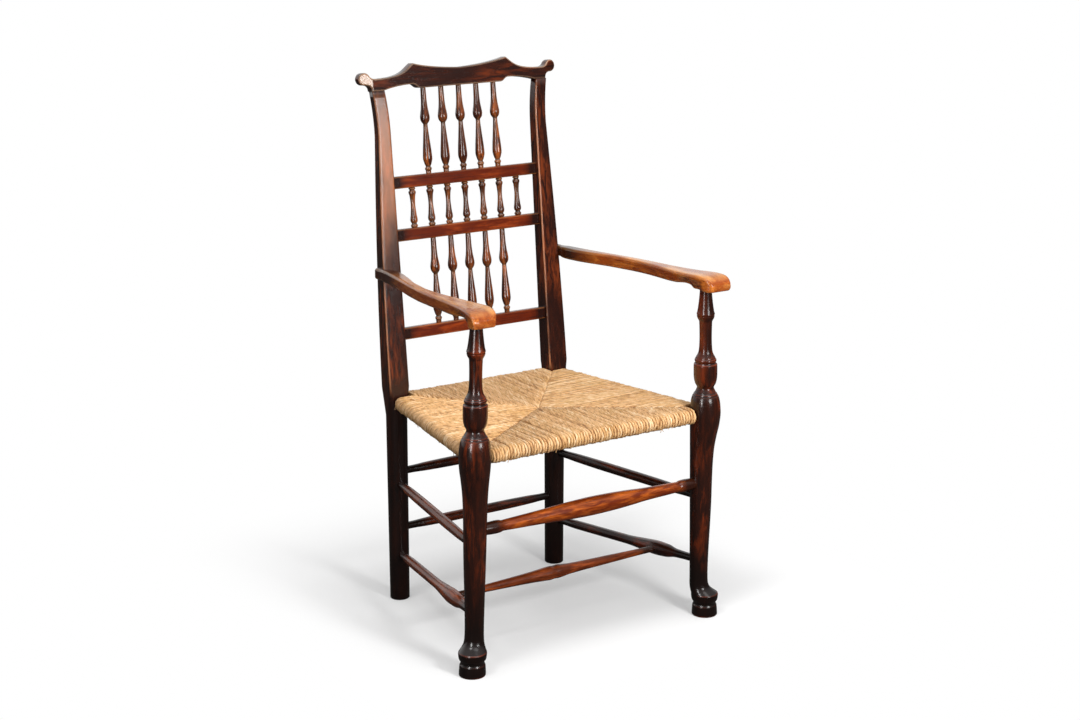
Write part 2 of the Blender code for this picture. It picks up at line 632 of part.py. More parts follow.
def make_rush_seat(cuts):
    """Make the rush as one solid that rolls over the rails and dips towards the middle."""
    corners = [seat_corner(*corner)[0] for corner in SEAT_CORNERS]
    roll = SEAT_RAIL_RADIUS + CLEARANCE + RUSH_WRAP
    middle_top = roll - RUSH_CENTRE_DIP
    middle_under = middle_top - RUSH_MIDDLE_THICKNESS
    loops = [seat_loop(corners, 0.0, share, mix(middle_under, -roll, share)) for share in (0.05, 0.55)]
    for step in range(RUSH_ROLL_STEPS + 1):
        angle = math.pi * (step / RUSH_ROLL_STEPS - 0.5)
        loops.append(seat_loop(corners, roll * math.cos(angle), 1.0, roll * math.sin(angle)))
    loops += [seat_loop(corners, 0.0, share, mix(middle_top, roll, share)) for share in (0.55, 0.05)]
    add_piece("rush_seat", lofted(loops), "rush")
    for name, side in SIDES.items():
        cuts["rush_seat"].append(lofted(post_shoulders(side, 2.0 * CLEARANCE)))
        knee = (KNEE_RADIUS + CLEARANCE) / math.cos(math.pi / LEG_SIDES)
        levels = (SEAT_RAIL_HEIGHT - 2.0 * roll, SEAT_RAIL_HEIGHT + 2.0 * roll)
        cuts["rush_seat"].append(lofted([ring(front_axis(z, side), knee, LEG_SIDES) for z in levels]))
    for corner, following in zip(corners, corners[1:] + corners[:1]):
        cuts["rush_seat"].append(mortise(corner, following, SEAT_RAIL_RADIUS, STRETCHER_SIDES))


# The back: rails, spindles and crest


def make_back_rails(back, cuts):
    """Make the three cross rails, tenoned into both posts."""
    body = eased_box(BACK_RAIL_THICKNESS / 2.0, BACK_RAIL_HEIGHT / 2.0, BACK_RAIL_EDGE)
    tenon = eased_box(BACK_RAIL_TENON_THICKNESS / 2.0, BACK_RAIL_TENON_HEIGHT / 2.0, TENON_EDGE)
    half_tenon = Vector((0.0, BACK_RAIL_TENON_THICKNESS / 2.0, BACK_RAIL_TENON_HEIGHT / 2.0))
    shoulder = POST_INNER - CLEARANCE
    tip = POST_INNER + BACK_RAIL_TENON_LENGTH
    stations = (
        (-tip, tenon), (-shoulder, tenon), (-shoulder, body),
        (shoulder, body), (shoulder, tenon), (tip, tenon),
    )
    for level, base in (("lower", LOWER_RAIL), ("middle", MIDDLE_RAIL), ("upper", UPPER_RAIL)):
        middle = Vector((0.0, SPINDLE_AXIS, base + BACK_RAIL_HEIGHT / 2.0))
        loops = [[middle + Vector((x, point.x, point.y)) for point in outline] for x, outline in stations]
        add_piece(f"back_rail_{level}", lofted(loops), "rail", parent=back)
        for name, side in SIDES.items():
            mouth = POST_INNER - BACK_RAIL_TENON_THICKNESS
            reach = sorted((side * mouth, side * tip))
            low = middle - half_tenon + Vector((reach[0], 0.0, 0.0))
            high = middle + half_tenon + Vector((reach[1], 0.0, 0.0))
            cuts[f"rear_post_{name}"].append(block(low, high))


def make_spindles(back, cuts):
    """Make the three rows of spindles, tenoned into the rails and the crest."""
    rows = (
        ("lower", OUTER_ROW_COUNT, LOWER_RAIL + BACK_RAIL_HEIGHT, MIDDLE_RAIL, LONG_SPINDLE,
         "back_rail_lower", "back_rail_middle"),
        ("middle", MIDDLE_ROW_COUNT, MIDDLE_RAIL + BACK_RAIL_HEIGHT, UPPER_RAIL, SHORT_SPINDLE,
         "back_rail_middle", "back_rail_upper"),
        ("upper", OUTER_ROW_COUNT, WAIST, CREST, LONG_SPINDLE, "back_rail_upper", "crest_rail"),
    )
    for row, count, bottom, top, shape, under, over in rows:
        shoulder = SPINDLE_TENON_LENGTH + CLEARANCE
        free = top - bottom - 2.0 * CLEARANCE
        profile = [(0.0, SPINDLE_TENON_RADIUS), (shoulder, SPINDLE_TENON_RADIUS)]
        for share, radius in swelling(shape, SPINDLE_NECK_RADIUS, SPINDLE_BULB_RADIUS):
            profile.append((shoulder + free * share, radius))
        profile.append((shoulder + free, SPINDLE_TENON_RADIUS))
        profile.append((2.0 * shoulder + free, SPINDLE_TENON_RADIUS))
        for index in range(count):
            x = (index - (count - 1) / 2.0) * SPINDLE_PITCH
            foot = Vector((x, SPINDLE_AXIS, bottom - SPINDLE_TENON_LENGTH))
            head = Vector((x, SPINDLE_AXIS, top + SPINDLE_TENON_LENGTH))
            turning = turned(profile, SPINDLE_SIDES)
            add_piece(f"{row}_spindle_{index + 1}", turning, "spindle", Matrix.Translation(foot), back)
            for rail, tip, level in ((under, foot, bottom), (over, head, top)):
                mouth = BACK @ Vector((x, SPINDLE_AXIS, level))
                cuts[rail].append(mortise(BACK @ tip, mouth, SPINDLE_TENON_RADIUS, SPINDLE_SIDES))


def crest_half():
    """Return the crest's outline on the left, from the middle of its underside to the middle of its top."""
    inner = post_inner(CREST)
    outer = inner + POST_TOP_WIDTH
    shoulder = (OUTER_ROW_COUNT - 1) / 2.0 * SPINDLE_PITCH + CREST_SHOULDER_MARGIN
    arch = shoulder + CREST_SHOULDER_RUN
    bend = mix(shoulder, arch, 0.5)
    points = [Vector((0.0, 0.0)), Vector((shoulder, 0.0))]
    rise = CREST_SHOULDER_RISE
    points += bezier(((shoulder, 0.0), (bend, 0.0), (bend, rise), (arch, rise)), 4)
    points += bezier(((arch, rise), (mix(arch, inner, 0.5), rise), (inner, 0.0)), 4)
    points.append(Vector((outer, 0.0)))
    ear = Vector((outer + EAR_REACH, EAR_RISE))
    ear_under = EAR_RISE - EAR_RADIUS
    points += bezier(((outer, 0.0), (outer, ear_under), (ear.x, ear_under)), 4)
    for degrees in range(-60, 151, 30):
        angle = math.radians(degrees)
        points.append(ear + EAR_RADIUS * Vector((math.cos(angle), math.sin(angle))))
    end = mix(inner, outer, 0.6)
    points += bezier((points[-1], (outer, CREST_END_HEIGHT), (end, CREST_END_HEIGHT)), 3)
    peak = mix(shoulder, arch, 0.75)
    shoulder_top = mix(CREST_END_HEIGHT, CREST_PEAK_HEIGHT, 0.6)
    sweep = (
        (end, CREST_END_HEIGHT), (mix(peak, end, 0.24), CREST_END_HEIGHT),
        (mix(peak, end, 0.2), shoulder_top), (peak, CREST_PEAK_HEIGHT),
    )
    points += bezier(sweep, 7)
    saddle = mix(CREST_CENTRE_HEIGHT, CREST_PEAK_HEIGHT, 0.25)
    points += bezier(((peak, CREST_PEAK_HEIGHT), (0.64 * peak, saddle), (0.0, CREST_CENTRE_HEIGHT)), 6)
    return points


def make_crest(back, cuts):
    """Make the crest rail with its scrolled ears, seated on the post tops."""
    half = crest_half()
    outline = half + [Vector((-point.x, point.y)) for point in reversed(half[1:-1])]
    base = CREST + CLEARANCE
    depths = (CREST_SETBACK, CREST_SETBACK + CREST_THICKNESS)
    loops = [[Vector((p.x, depth, base + p.y)) for p in outline] for depth in depths]
    add_piece("crest_rail", lofted(loops), "rail", parent=back)
    for side in SIDES.values():
        low, high = post_tenon(side)
        cuts["crest_rail"].append(block(low - Vector((0.0, 0.0, POST_TENON_DEPTH)), high))


# Arms

# Share of the length from lap to nose, share of the way sideways from lap to hand, share of the way
# from the waist's width to the hand's, and the rise of the top and of the underside as shares of the crown
ARM_SHAPE = (
    (0.08, -0.03, 0.08, 0.15, 0.00), (0.17, 0.06, 0.20, 0.20, 0.05), (0.23, 0.19, 0.15, 0.22, 0.05),
    (0.29, 0.34, 0.07, 0.25, 0.05), (0.35, 0.50, 0.00, 0.28, 0.04), (0.42, 0.63, 0.00, 0.32, 0.06),
    (0.48, 0.73, 0.01, 0.36, 0.10), (0.54, 0.78, 0.06, 0.40, 0.18), (0.60, 0.81, 0.16, 0.45, 0.26),
    (0.67, 0.81, 0.27, 0.52, 0.34), (0.73, 0.82, 0.42, 0.58, 0.42), (0.79, 0.84, 0.58, 0.66, 0.62),
    (0.84, 0.87, 0.72, 0.76, 0.90), (0.87, 0.90, 0.81, 0.84, 0.60), (0.89, 0.92, 0.90, 0.88, 0.00),
    (0.92, 0.97, 0.95, 0.95, 0.00), (0.96, 1.04, 0.96, 1.00, 0.00), (0.99, 1.13, 0.77, 0.56, 0.12),
    (1.00, 1.17, 0.54, 0.00, 0.50),
)


def make_arms(cuts):
    """Make both arms with their dowels, lapped outside the posts and seated on the supports."""
    lap_height = ARM_UNDERSIDE - ARM_RISE + ARM_THICKNESS / 2.0
    level = (lap_height - SEAT_RAIL_HEIGHT) / math.cos(BACK_RAKE)
    outer = post_inner(level) + post_width(level)
    front_y = (BACK @ Vector((0.0, 0.0, level))).y
    rear_y = front_y + ARM_LAP_LENGTH
    nose_y = FRONT_LEG_Y - ARM_HAND_REACH
    lap_x = outer + (ARM_LAP_THICKNESS - ARM_LAP_INSIDE) / 2.0
    lap_half_width = (ARM_LAP_THICKNESS + ARM_LAP_INSIDE) / 2.0
    hand_x = front_axis(ARM_UNDERSIDE, 1.0).x
    stations = [(y, lap_x, lap_half_width, 0.0, 0.0) for y in (rear_y, front_y)]
    for share, sideways, widening, top_rise, under_rise in ARM_SHAPE:
        x = mix(lap_x, hand_x, sideways)
        half_width = mix(ARM_WAIST_HALF_WIDTH, ARM_HAND_HALF_WIDTH, widening)
        stations.append((mix(rear_y, nose_y, share), x, half_width, top_rise, under_rise))
    for name, side in SIDES.items():
        loops = []
        for y, x, half_width, top_rise, under_rise in stations:
            fall = ARM_RISE * max(0.0, (y - FRONT_LEG_Y) / (rear_y - FRONT_LEG_Y))
            under = ARM_UNDERSIDE - fall + ARM_HAND_CROWN * under_rise
            top = ARM_UNDERSIDE - fall + ARM_THICKNESS + ARM_HAND_CROWN * top_rise
            centre = Vector((side * x, y, (top + under) / 2.0))
            outline = eased_box(half_width, (top - under) / 2.0, ARM_EDGE)
            loops.append([centre + Vector((point.x, 0.0, point.y)) for point in outline])
        add_piece(f"arm_{name}", lofted(loops), "arm")
        reach = 2.0 * ARM_THICKNESS
        notch = [post_section(level + step, side, CLEARANCE) for step in (-reach, 0.0, reach)]
        seat = front_axis(ARM_UNDERSIDE, side)
        tip = front_axis(ARM_UNDERSIDE + SUPPORT_TENON_LENGTH, side)
        face = BACK @ Vector((side * outer, ARM_LAP_LENGTH / 2.0, level))
        dowel_reach = Vector((side * ARM_DOWEL_HALF_LENGTH, 0.0, 0.0))
        dowel_profile = [(0.0, ARM_DOWEL_RADIUS), (2.0 * ARM_DOWEL_HALF_LENGTH, ARM_DOWEL_RADIUS)]
        dowel = turned(dowel_profile, SPINDLE_SIDES)
        add_piece(f"arm_dowel_{name}", dowel, "hidden", along(face - dowel_reach, face + dowel_reach))
        cuts[f"arm_{name}"] += [
            lofted(notch), mortise(tip, seat, SUPPORT_TENON_RADIUS, LEG_SIDES),
            mortise(face + dowel_reach, face, ARM_DOWEL_RADIUS, SPINDLE_SIDES),
        ]
        cuts[f"rear_post_{name}"].append(mortise(face - dowel_reach, face, ARM_DOWEL_RADIUS, SPINDLE_SIDES))


def main():
    """Build the chair."""
    clear_scene()
    back = bpy.data.objects.new("back", None)
    bpy.context.scene.collection.objects.link(back)
    back.matrix_world = BACK
    cuts = defaultdict(list)
    make_posts()
    make_front_legs()
    make_stretchers(cuts)
    make_seat_rails(cuts)
    make_rush_seat(cuts)
    make_back_rails(back, cuts)
    make_spindles(back, cuts)
    make_crest(back, cuts)
    make_arms(cuts)
    for name, shapes in cuts.items():
        cut(name, shapes)


main()
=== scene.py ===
"""Looks of the spindle back armchair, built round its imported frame.

Metres, +Z up, the floor at z = 0. The chair faces -Y, so the sitter's left is +X. Every visible piece is
modelled again, finer than the frame's solid and in the same place, and dressed in stained wood or rush.
"""

import logging
import math
import random
from collections.abc import Callable, Iterable, Sequence
from dataclasses import dataclass
from enum import Enum

import bmesh
import bpy
from bmesh.types import BMesh, BMVert
from bpy.types import ID, Material, Node, NodeSocket, NodeTree, Object
from mathutils import Matrix, Vector


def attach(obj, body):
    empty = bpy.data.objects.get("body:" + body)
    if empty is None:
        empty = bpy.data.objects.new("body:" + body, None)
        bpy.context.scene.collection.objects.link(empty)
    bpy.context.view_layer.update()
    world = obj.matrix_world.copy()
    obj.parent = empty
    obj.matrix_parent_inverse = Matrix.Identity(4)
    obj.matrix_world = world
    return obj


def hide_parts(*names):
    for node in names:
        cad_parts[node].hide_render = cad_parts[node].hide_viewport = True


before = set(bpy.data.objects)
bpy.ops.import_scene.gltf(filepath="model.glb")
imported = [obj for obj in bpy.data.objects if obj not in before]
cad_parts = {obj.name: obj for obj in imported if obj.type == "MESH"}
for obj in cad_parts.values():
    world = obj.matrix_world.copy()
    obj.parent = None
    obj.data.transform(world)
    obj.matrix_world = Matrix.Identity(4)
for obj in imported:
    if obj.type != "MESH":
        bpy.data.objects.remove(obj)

LOG = logging.getLogger("armchair")
BODY = "root"
# The nodes that the rush or a joint hides begin with these words
HIDDEN = ("seat_rail_", "arm_dowel_")
# Vertices that are closer than this are merged
MERGE = 1e-6
# Where the flats of a rounded rectangle have extra points, and the steps round each of its corners
FLAT_SHARES = (0.45, 0.80)
CORNER_STEPS = 6
# How far from the middle of the tree a piece may be cut, and how far along the tree
PITH_DISTANCES = (0.035, 0.080)
TREE_LENGTH = 9.0
# Bends, in radians on a metre, between which an edge gets rubbed bare and a hollow fills with wax
EDGE_BENDS = (130.0, 420.0)
HOLLOW_BENDS = (60.0, 320.0)
# How squarely a place faces a given way, from where it is not lightened to where it is in full: painted
# highlight on the posts' edges, polish on the arms' tops
FACING = (0.55, 0.95)
# The darkness at a joint, and at the floor for the legs, and the share of its spread over which it stays that
# dark
JOINT_DIRT = 0.95
DIRT_CORE = 0.45


class Side(Enum):
    """The sitter's two sides, each with the sign of its X."""

    LEFT = 1.0
    RIGHT = -1.0

    @property
    def word(self) -> str:
        """The side as node names spell it."""
        return self.name.lower()


class Run(Enum):
    """Which way the grain runs: the axes that become across, across and along."""

    ALONG_X = (1, 2, 0)
    ALONG_Y = (0, 2, 1)
    ALONG_Z = (0, 1, 2)

    def turn(self, point: Vector) -> Vector:
        """Returns the point with its axes in the order across, across, along."""
        return Vector([point[axis] for axis in self.value])


def mix(first: float, second: float, share: float) -> float:
    """Returns the value that lies a share of the way from first to second."""
    return first + (second - first) * share


def ramp(value: float, low: float, high: float) -> float:
    """Returns 0 below low, 1 above high, and an even climb between them."""
    return min(1.0, max(0.0, (value - low) / (high - low)))


def smoothed(stations: Sequence[Sequence[float]], step: float) -> list[list[float]]:
    """Runs a smooth line through stations without overshooting any of them.

    Args:
        stations: rows of numbers, of which the first grows from row to row.
        step: the longest distance left between two rows, in the first number.

    Returns:
        The rows of the smooth line, the stations among them.
    """
    pairs = list(zip(stations, stations[1:]))
    gaps = [last[0] - first[0] for first, last in pairs]
    slopes = [[(b - a) / gap for a, b in zip(first[1:], last[1:])] for (first, last), gap in zip(pairs, gaps)]
    tangents = [slopes[0]]
    for before, after, gap, next_gap in zip(slopes, slopes[1:], gaps, gaps[1:]):
        weights = (2.0 * next_gap + gap, next_gap + 2.0 * gap)
        tangents.append([
            sum(weights) / (weights[0] / a + weights[1] / b) if a * b > 0.0 else 0.0
            for a, b in zip(before, after)
        ])
    tangents.append(slopes[-1])
    rows = [list(stations[0])]
    for index, (first, last) in enumerate(pairs):
        count = max(1, math.ceil(gaps[index] / step))
        for part in range(1, count + 1):
            share = part / count
            rise = share * share * (3.0 - 2.0 * share)
            leave = gaps[index] * share * (1.0 - share) ** 2
            arrive = -gaps[index] * share * share * (1.0 - share)
            row = [mix(first[0], last[0], share)]
            for a, b, start, end in zip(first[1:], last[1:], tangents[index], tangents[index + 1]):
                row.append(mix(a, b, rise) + start * leave + end * arrive)
            rows.append(row)
    return rows


def swelling(shape: Iterable[Sequence[float]], thin: float, thick: float) -> list[tuple[float, float]]:
    """Turns the swellings of a shape into radii between thin and thick."""
    return [(share, mix(thin, thick, amount)) for share, amount in shape]


def bezier(points: Sequence[Sequence[float]], steps: int) -> list[Vector]:
    """Returns steps points along a Bezier curve, the first point left out."""
    curve = []
    for step in range(1, steps + 1):
        level = [Vector(point) for point in points]
        while len(level) > 1:
            level = [a.lerp(b, step / steps) for a, b in zip(level, level[1:])]
        curve.append(level[0])
    return curve


def circle(sides: int) -> list[Vector]:
    """Returns the points of a circle of radius 1 in the plane of X and Y."""
    turns = [2.0 * math.pi * index / sides for index in range(sides)]
    return [Vector((math.cos(turn), math.sin(turn), 0.0)) for turn in turns]


def rounded_box(half_x: float, half_y: float, radius: float) -> list[Vector]:
    """Returns 48 points round a rectangle with rounded corners, in the order of circle(48).

    Args:
        half_x: half the size along X.
        half_y: half the size along Y.
        radius: radius of the corners.

    Returns:
        Points in the plane of X and Y, with two close to each corner that keep the flats flat.
    """
    flat_x = half_x - radius
    flat_y = half_y - radius
    quarter = [(half_x, 0.0), *((half_x, share * flat_y) for share in FLAT_SHARES)]
    for step in range(CORNER_STEPS + 1):
        turn = math.radians(90.0 * step / CORNER_STEPS)
        quarter.append((flat_x + radius * math.cos(turn), flat_y + radius * math.sin(turn)))
    quarter += [*((share * flat_x, half_y) for share in reversed(FLAT_SHARES)), (0.0, half_y)]
    half = quarter[:-1] + [(-x, y) for x, y in reversed(quarter)][:-1]
    return [Vector((x, y, 0.0)) for x, y in half] + [Vector((-x, -y, 0.0)) for x, y in half]


def turned(profile: Sequence[Sequence[float]], sides: int) -> BMesh:
    """Spins a profile about Z into a closed turning.

    Args:
        profile: (height, radius) rows from the foot to the head.
        sides: facets round the turning.

    Returns:
        The turning, its faces outwards.
    """
    bm = bmesh.new()
    points = [(profile[0][0], 0.0), *profile, (profile[-1][0], 0.0)]
    verts = [bm.verts.new((radius, 0.0, height)) for height, radius in points]
    edges = [bm.edges.new(pair) for pair in zip(verts, verts[1:])]
    bmesh.ops.spin(
        bm, geom=verts + edges, cent=(0.0, 0.0, 0.0), axis=(0.0, 0.0, 1.0),
        angle=2.0 * math.pi, steps=sides, use_merge=True, use_duplicate=False,
    )
    bmesh.ops.remove_doubles(bm, verts=bm.verts[:], dist=MERGE)
    bmesh.ops.recalc_face_normals(bm, faces=bm.faces[:])
    return bm


def lofted(loops: Sequence[Sequence[Vector]]) -> BMesh:
    """Extrudes a face through loops of matching points into a closed solid.

    Args:
        loops: the loops, from one end of the solid to the other.

    Returns:
        The solid, its faces outwards.
    """
    bm = bmesh.new()
    face = bm.faces.new([bm.verts.new(point) for point in loops[0]])
    spent = []
    for loop in loops[1:]:
        result = bmesh.ops.extrude_face_region(bm, geom=[face])
        face = next(item for item in result["geom"] if isinstance(item, bmesh.types.BMFace))
        for vert, point in zip(face.verts, loop):
            vert.co = point
        spent.append(face)
    bmesh.ops.delete(bm, geom=spent[:-1], context="FACES_ONLY")
    bm.normal_update()
    bmesh.ops.recalc_face_normals(bm, faces=bm.faces[:])
    return bm


def lay_grain(bm: BMesh, run: Run, board: str) -> None:
    """Stores where each vertex lies in the board that its piece was cut from.

    Args:
        bm: the piece.
        run: which way its grain runs.
        board: the piece's name, which picks the part of the tree that it comes from.
    """
    layer = bm.verts.layers.float_vector.new("grain")
    dice = random.Random(board)
    turn = dice.uniform(0.0, 2.0 * math.pi)
    pith = dice.uniform(*PITH_DISTANCES)
    shift = Vector((pith * math.cos(turn), pith * math.sin(turn), dice.uniform(0.0, TREE_LENGTH)))
    for vert in bm.verts:
        vert[layer] = run.turn(vert.co) + shift


def rub(
    bm: BMesh, joints: Sequence[float] = (), axis: int = 2, spread: float = 0.030,
    highlight_facing: Vector | None = None,
) -> None:
    """Stores how far each vertex is rubbed bare, and how much old wax and dirt lie on it.

    Args:
        bm: the piece.
        joints: where it enters other pieces or stands on the floor, measured along the axis.
        axis: the axis that the joints are measured along.
        spread: how far the darkening reaches from a joint.
        highlight_facing: the way that edges must face to be painted pale as a highlight of the light from
            that side, or None where all edges are worn pale.
    """
    worn = bm.verts.layers.float.new("worn")
    waxed = bm.verts.layers.float.new("waxed")
    bm.normal_update()
    for vert in bm.verts:
        bends = [0.0]
        for edge in vert.link_edges:
            if len(edge.link_faces) == 2:
                first, second = (face.calc_center_median() for face in edge.link_faces)
                bends.append(edge.calc_face_angle_signed(0.0) / max((first - second).length, 10.0 * MERGE))
        # Given a way, only the edges that face it are pale: a painted highlight, not wear
        facing = 1.0 if highlight_facing is None else ramp(vert.normal.dot(highlight_facing), *FACING)
        vert[worn] = facing * ramp(max(bends), *EDGE_BENDS)
        dirt = [0.0]
        for joint in joints:
            clean = ramp(abs(vert.co[axis] - joint), DIRT_CORE * spread, spread)
            dirt.append(JOINT_DIRT * (1.0 - clean))
        vert[waxed] = max(ramp(-min(bends), *HOLLOW_BENDS), *dirt)


def wear(bm: BMesh, amount: Callable[[BMVert], float]) -> None:
    """Raises the mask of wear and painted sheen, wherever the amount for a vertex is more than its mask so
    far.
    """
    worn = bm.verts.layers.float["worn"]
    for vert in bm.verts:
        vert[worn] = max(vert[worn], amount(vert))


def add_object(
    name: str, data: ID, place: Sequence[float] = (0.0, 0.0, 0.0), aim: Vector | None = None,
) -> Object:
    """Adds an object to the scene.

    Args:
        name: its name.
        data: its mesh, light or camera.
        place: where it stands.
        aim: the way that it looks, or None where it isn't turned.

    Returns:
        The object.
    """
    obj = bpy.data.objects.new(name, data)
    bpy.context.scene.collection.objects.link(obj)
    obj.location = place
    if aim is not None:
        obj.rotation_euler = aim.to_track_quat("-Z", "Y").to_euler()
    return obj


def add_piece(bm: BMesh, node: str, material: Material) -> Object:
    """Turns a bmesh into a finished piece that stands for a CAD node.

    Args:
        bm: the piece, in its place.
        node: the CAD node that it stands for.
        material: its finish.

    Returns:
        The piece.
    """
    mesh = bpy.data.meshes.new(f"{node}_finished")
    bm.to_mesh(mesh)
    bm.free()
    mesh.shade_smooth()
    mesh.materials.append(material)
    obj = add_object(mesh.name, mesh)
    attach(obj, BODY)
    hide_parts(node)
    LOG.info("%s: %d faces", obj.name, len(mesh.polygons))
    return obj


def linear(colour: str) -> tuple[float, float, float, float]:
    """Turns an sRGB hex colour into linear red, green, blue and alpha."""
    shares = [int(colour[start:start + 2], 16) / 255.0 for start in (1, 3, 5)]
    red, green, blue = (s / 12.92 if s <= 0.04045 else ((s + 0.055) / 1.055) ** 2.4 for s in shares)
    return red, green, blue, 1.0


def per_metre(millimetres: float) -> float:
    """Turns the size of a pattern's feature into a texture scale."""
    return 1000.0 / millimetres


def add_material(name: str) -> tuple[Material, NodeTree]:
    """Returns a new material and its nodes."""
    material = bpy.data.materials.new(name)
    material.use_nodes = True
    return material, material.node_tree


def add_node(
    tree: NodeTree, kind: str, settings: dict[str, object] | None = None,
    inputs: dict[str | int, object] | None = None,
) -> Node:
    """Adds a node with its settings and links.

    Args:
        tree: the material's or world's node tree.
        kind: the node's type.
        settings: its properties.
        inputs: values, or the outputs that are linked in, by socket.

    Returns:
        The node.
    """
    node = tree.nodes.new(kind)
    for name, value in (settings or {}).items():
        setattr(node, name, value)
    for socket, value in (inputs or {}).items():
        if isinstance(value, NodeSocket):
            tree.links.new(value, node.inputs[socket])
        else:
            node.inputs[socket].default_value = value
    return node


@dataclass(frozen=True)
class StainedWood:
    """Ash, turned on the lathe or shaved, stained dark, waxed and held in hands for many years."""

    name: str
    deep: str
    body: str
    warm: str
    # Colour of rubbed edges, used also for the painted sheen and highlights that some pieces add
    worn: str
    warmth: float = 0.90
    calm: float = 0.25
    # The most of that pale colour that shows, on rubbed edges and on painted sheen alike
    rubbed: float = 0.60
    pore_mm: float = 2.2
    flame_mm: float = 9.0
    patch_mm: float = 34.0
    roughness: float = 0.24
    pore_roughness: float = 0.04
    coat: float = 0.30
    coat_roughness: float = 0.14
    ior: float = 1.45

    def material(self) -> Material:
        """Makes the material.

        Returns:
            Red flames along the grain where the black stain is thin, gathered in patches, dark pores,
            pale rubbed edges, black wax in the hollows, and a soft gloss that the pores break up. The pale
            colour of the edges also serves for the painted sheen and highlights that some pieces add.
        """
        material, tree = add_material(self.name)
        shader = tree.nodes["Principled BSDF"]
        shader.inputs["IOR"].default_value = self.ior
        shader.inputs["Coat Weight"].default_value = self.coat
        shader.inputs["Coat Roughness"].default_value = self.coat_roughness
        grain, worn, waxed = (
            add_node(tree, "ShaderNodeAttribute", {"attribute_name": name})
            for name in ("grain", "worn", "waxed")
        )
        # Size of the pores, the flames and the patches, their scale along the grain, and their noise
        patterns = []
        for size, length, noise in (
            (self.pore_mm, 0.03, {"Detail": 4.0, "Roughness": 0.6}),
            (self.flame_mm, 0.17, {"Detail": 4.0, "Roughness": 0.6, "Distortion": 0.5}),
            (self.patch_mm, 0.40, {"Detail": 3.0, "Roughness": 0.5}),
        ):
            board = {"Vector": grain.outputs["Vector"], "Scale": (1.0, 1.0, length)}
            drawn = add_node(tree, "ShaderNodeMapping", {}, board).outputs["Vector"]
            noise = {"Vector": drawn, "Scale": per_metre(size), **noise}
            patterns.append(add_node(tree, "ShaderNodeTexNoise", {}, noise).outputs["Fac"])
        pores, flames, patches = patterns
        # Between which values of a pattern it comes to show, and how much it shows at both
        shows = []
        for value, start, end, least, most in (
            (pores, 0.50, 0.72, 0.0, 0.65), (flames, 0.38, 0.70, 0.0, self.warmth),
            (patches, 0.40, 0.64, self.calm, 1.0), (patches, 0.30, 0.62, 0.10, self.rubbed),
        ):
            shows.append(add_node(
                tree, "ShaderNodeMapRange", {"interpolation_type": "SMOOTHSTEP"},
                {"Value": value, "From Min": start, "From Max": end, "To Min": least, "To Max": most},
            ).outputs["Result"])
        dark, lick, glow, chance = shows
        thinned, bare = (
            add_node(tree, "ShaderNodeMath", {"operation": "MULTIPLY"}, {0: first, 1: second}).outputs[0]
            for first, second in ((lick, glow), (worn.outputs["Fac"], chance))
        )
        # The pale colour goes where the mask of wear and painted sheen says, as far as the patches let it
        colour = linear(self.body)
        for share, layer in (
            (thinned, self.warm), (dark, self.deep), (waxed.outputs["Fac"], self.deep), (bare, self.worn),
        ):
            colour = add_node(
                tree, "ShaderNodeMix", {"data_type": "RGBA"}, {0: share, 6: colour, 7: linear(layer)},
            ).outputs[2]
        gloss = add_node(
            tree, "ShaderNodeMapRange", {},
            {"Value": dark, "To Min": self.roughness, "To Max": self.roughness + self.pore_roughness},
        ).outputs["Result"]
        relief = add_node(
            tree, "ShaderNodeBump", {"invert": True}, {"Strength": 0.25, "Distance": 0.0004, "Height": dark},
        ).outputs["Normal"]
        tree.links.new(colour, shader.inputs["Base Color"])
        tree.links.new(gloss, shader.inputs["Roughness"])
        tree.links.new(relief, shader.inputs["Normal"])
        return material


@dataclass(frozen=True)
class BareWood:
    """Riven ash, shaved and left bare, which the rush or the joint hides."""

    name: str = "riven_ash_bare"
    light: str = "#b08a5c"
    dark: str = "#7d5a36"
    fleck_mm: float = 4.0
    roughness: float = 0.7

    def material(self) -> Material:
        """Makes the material: pale wood with darker flecks and a dull, dry surface."""
        material, tree = add_material(self.name)
        shader = tree.nodes["Principled BSDF"]
        shader.inputs["Roughness"].default_value = self.roughness
        place = add_node(tree, "ShaderNodeTexCoord").outputs["Object"]
        flecks = add_node(
            tree, "ShaderNodeTexNoise", {},
            {"Vector": place, "Scale": per_metre(self.fleck_mm), "Detail": 4.0},
        ).outputs["Fac"]
        colour = add_node(
            tree, "ShaderNodeMix", {"data_type": "RGBA"},
            {0: flecks, 6: linear(self.light), 7: linear(self.dark)},
        ).outputs[2]
        tree.links.new(colour, shader.inputs["Base Color"])
        return material


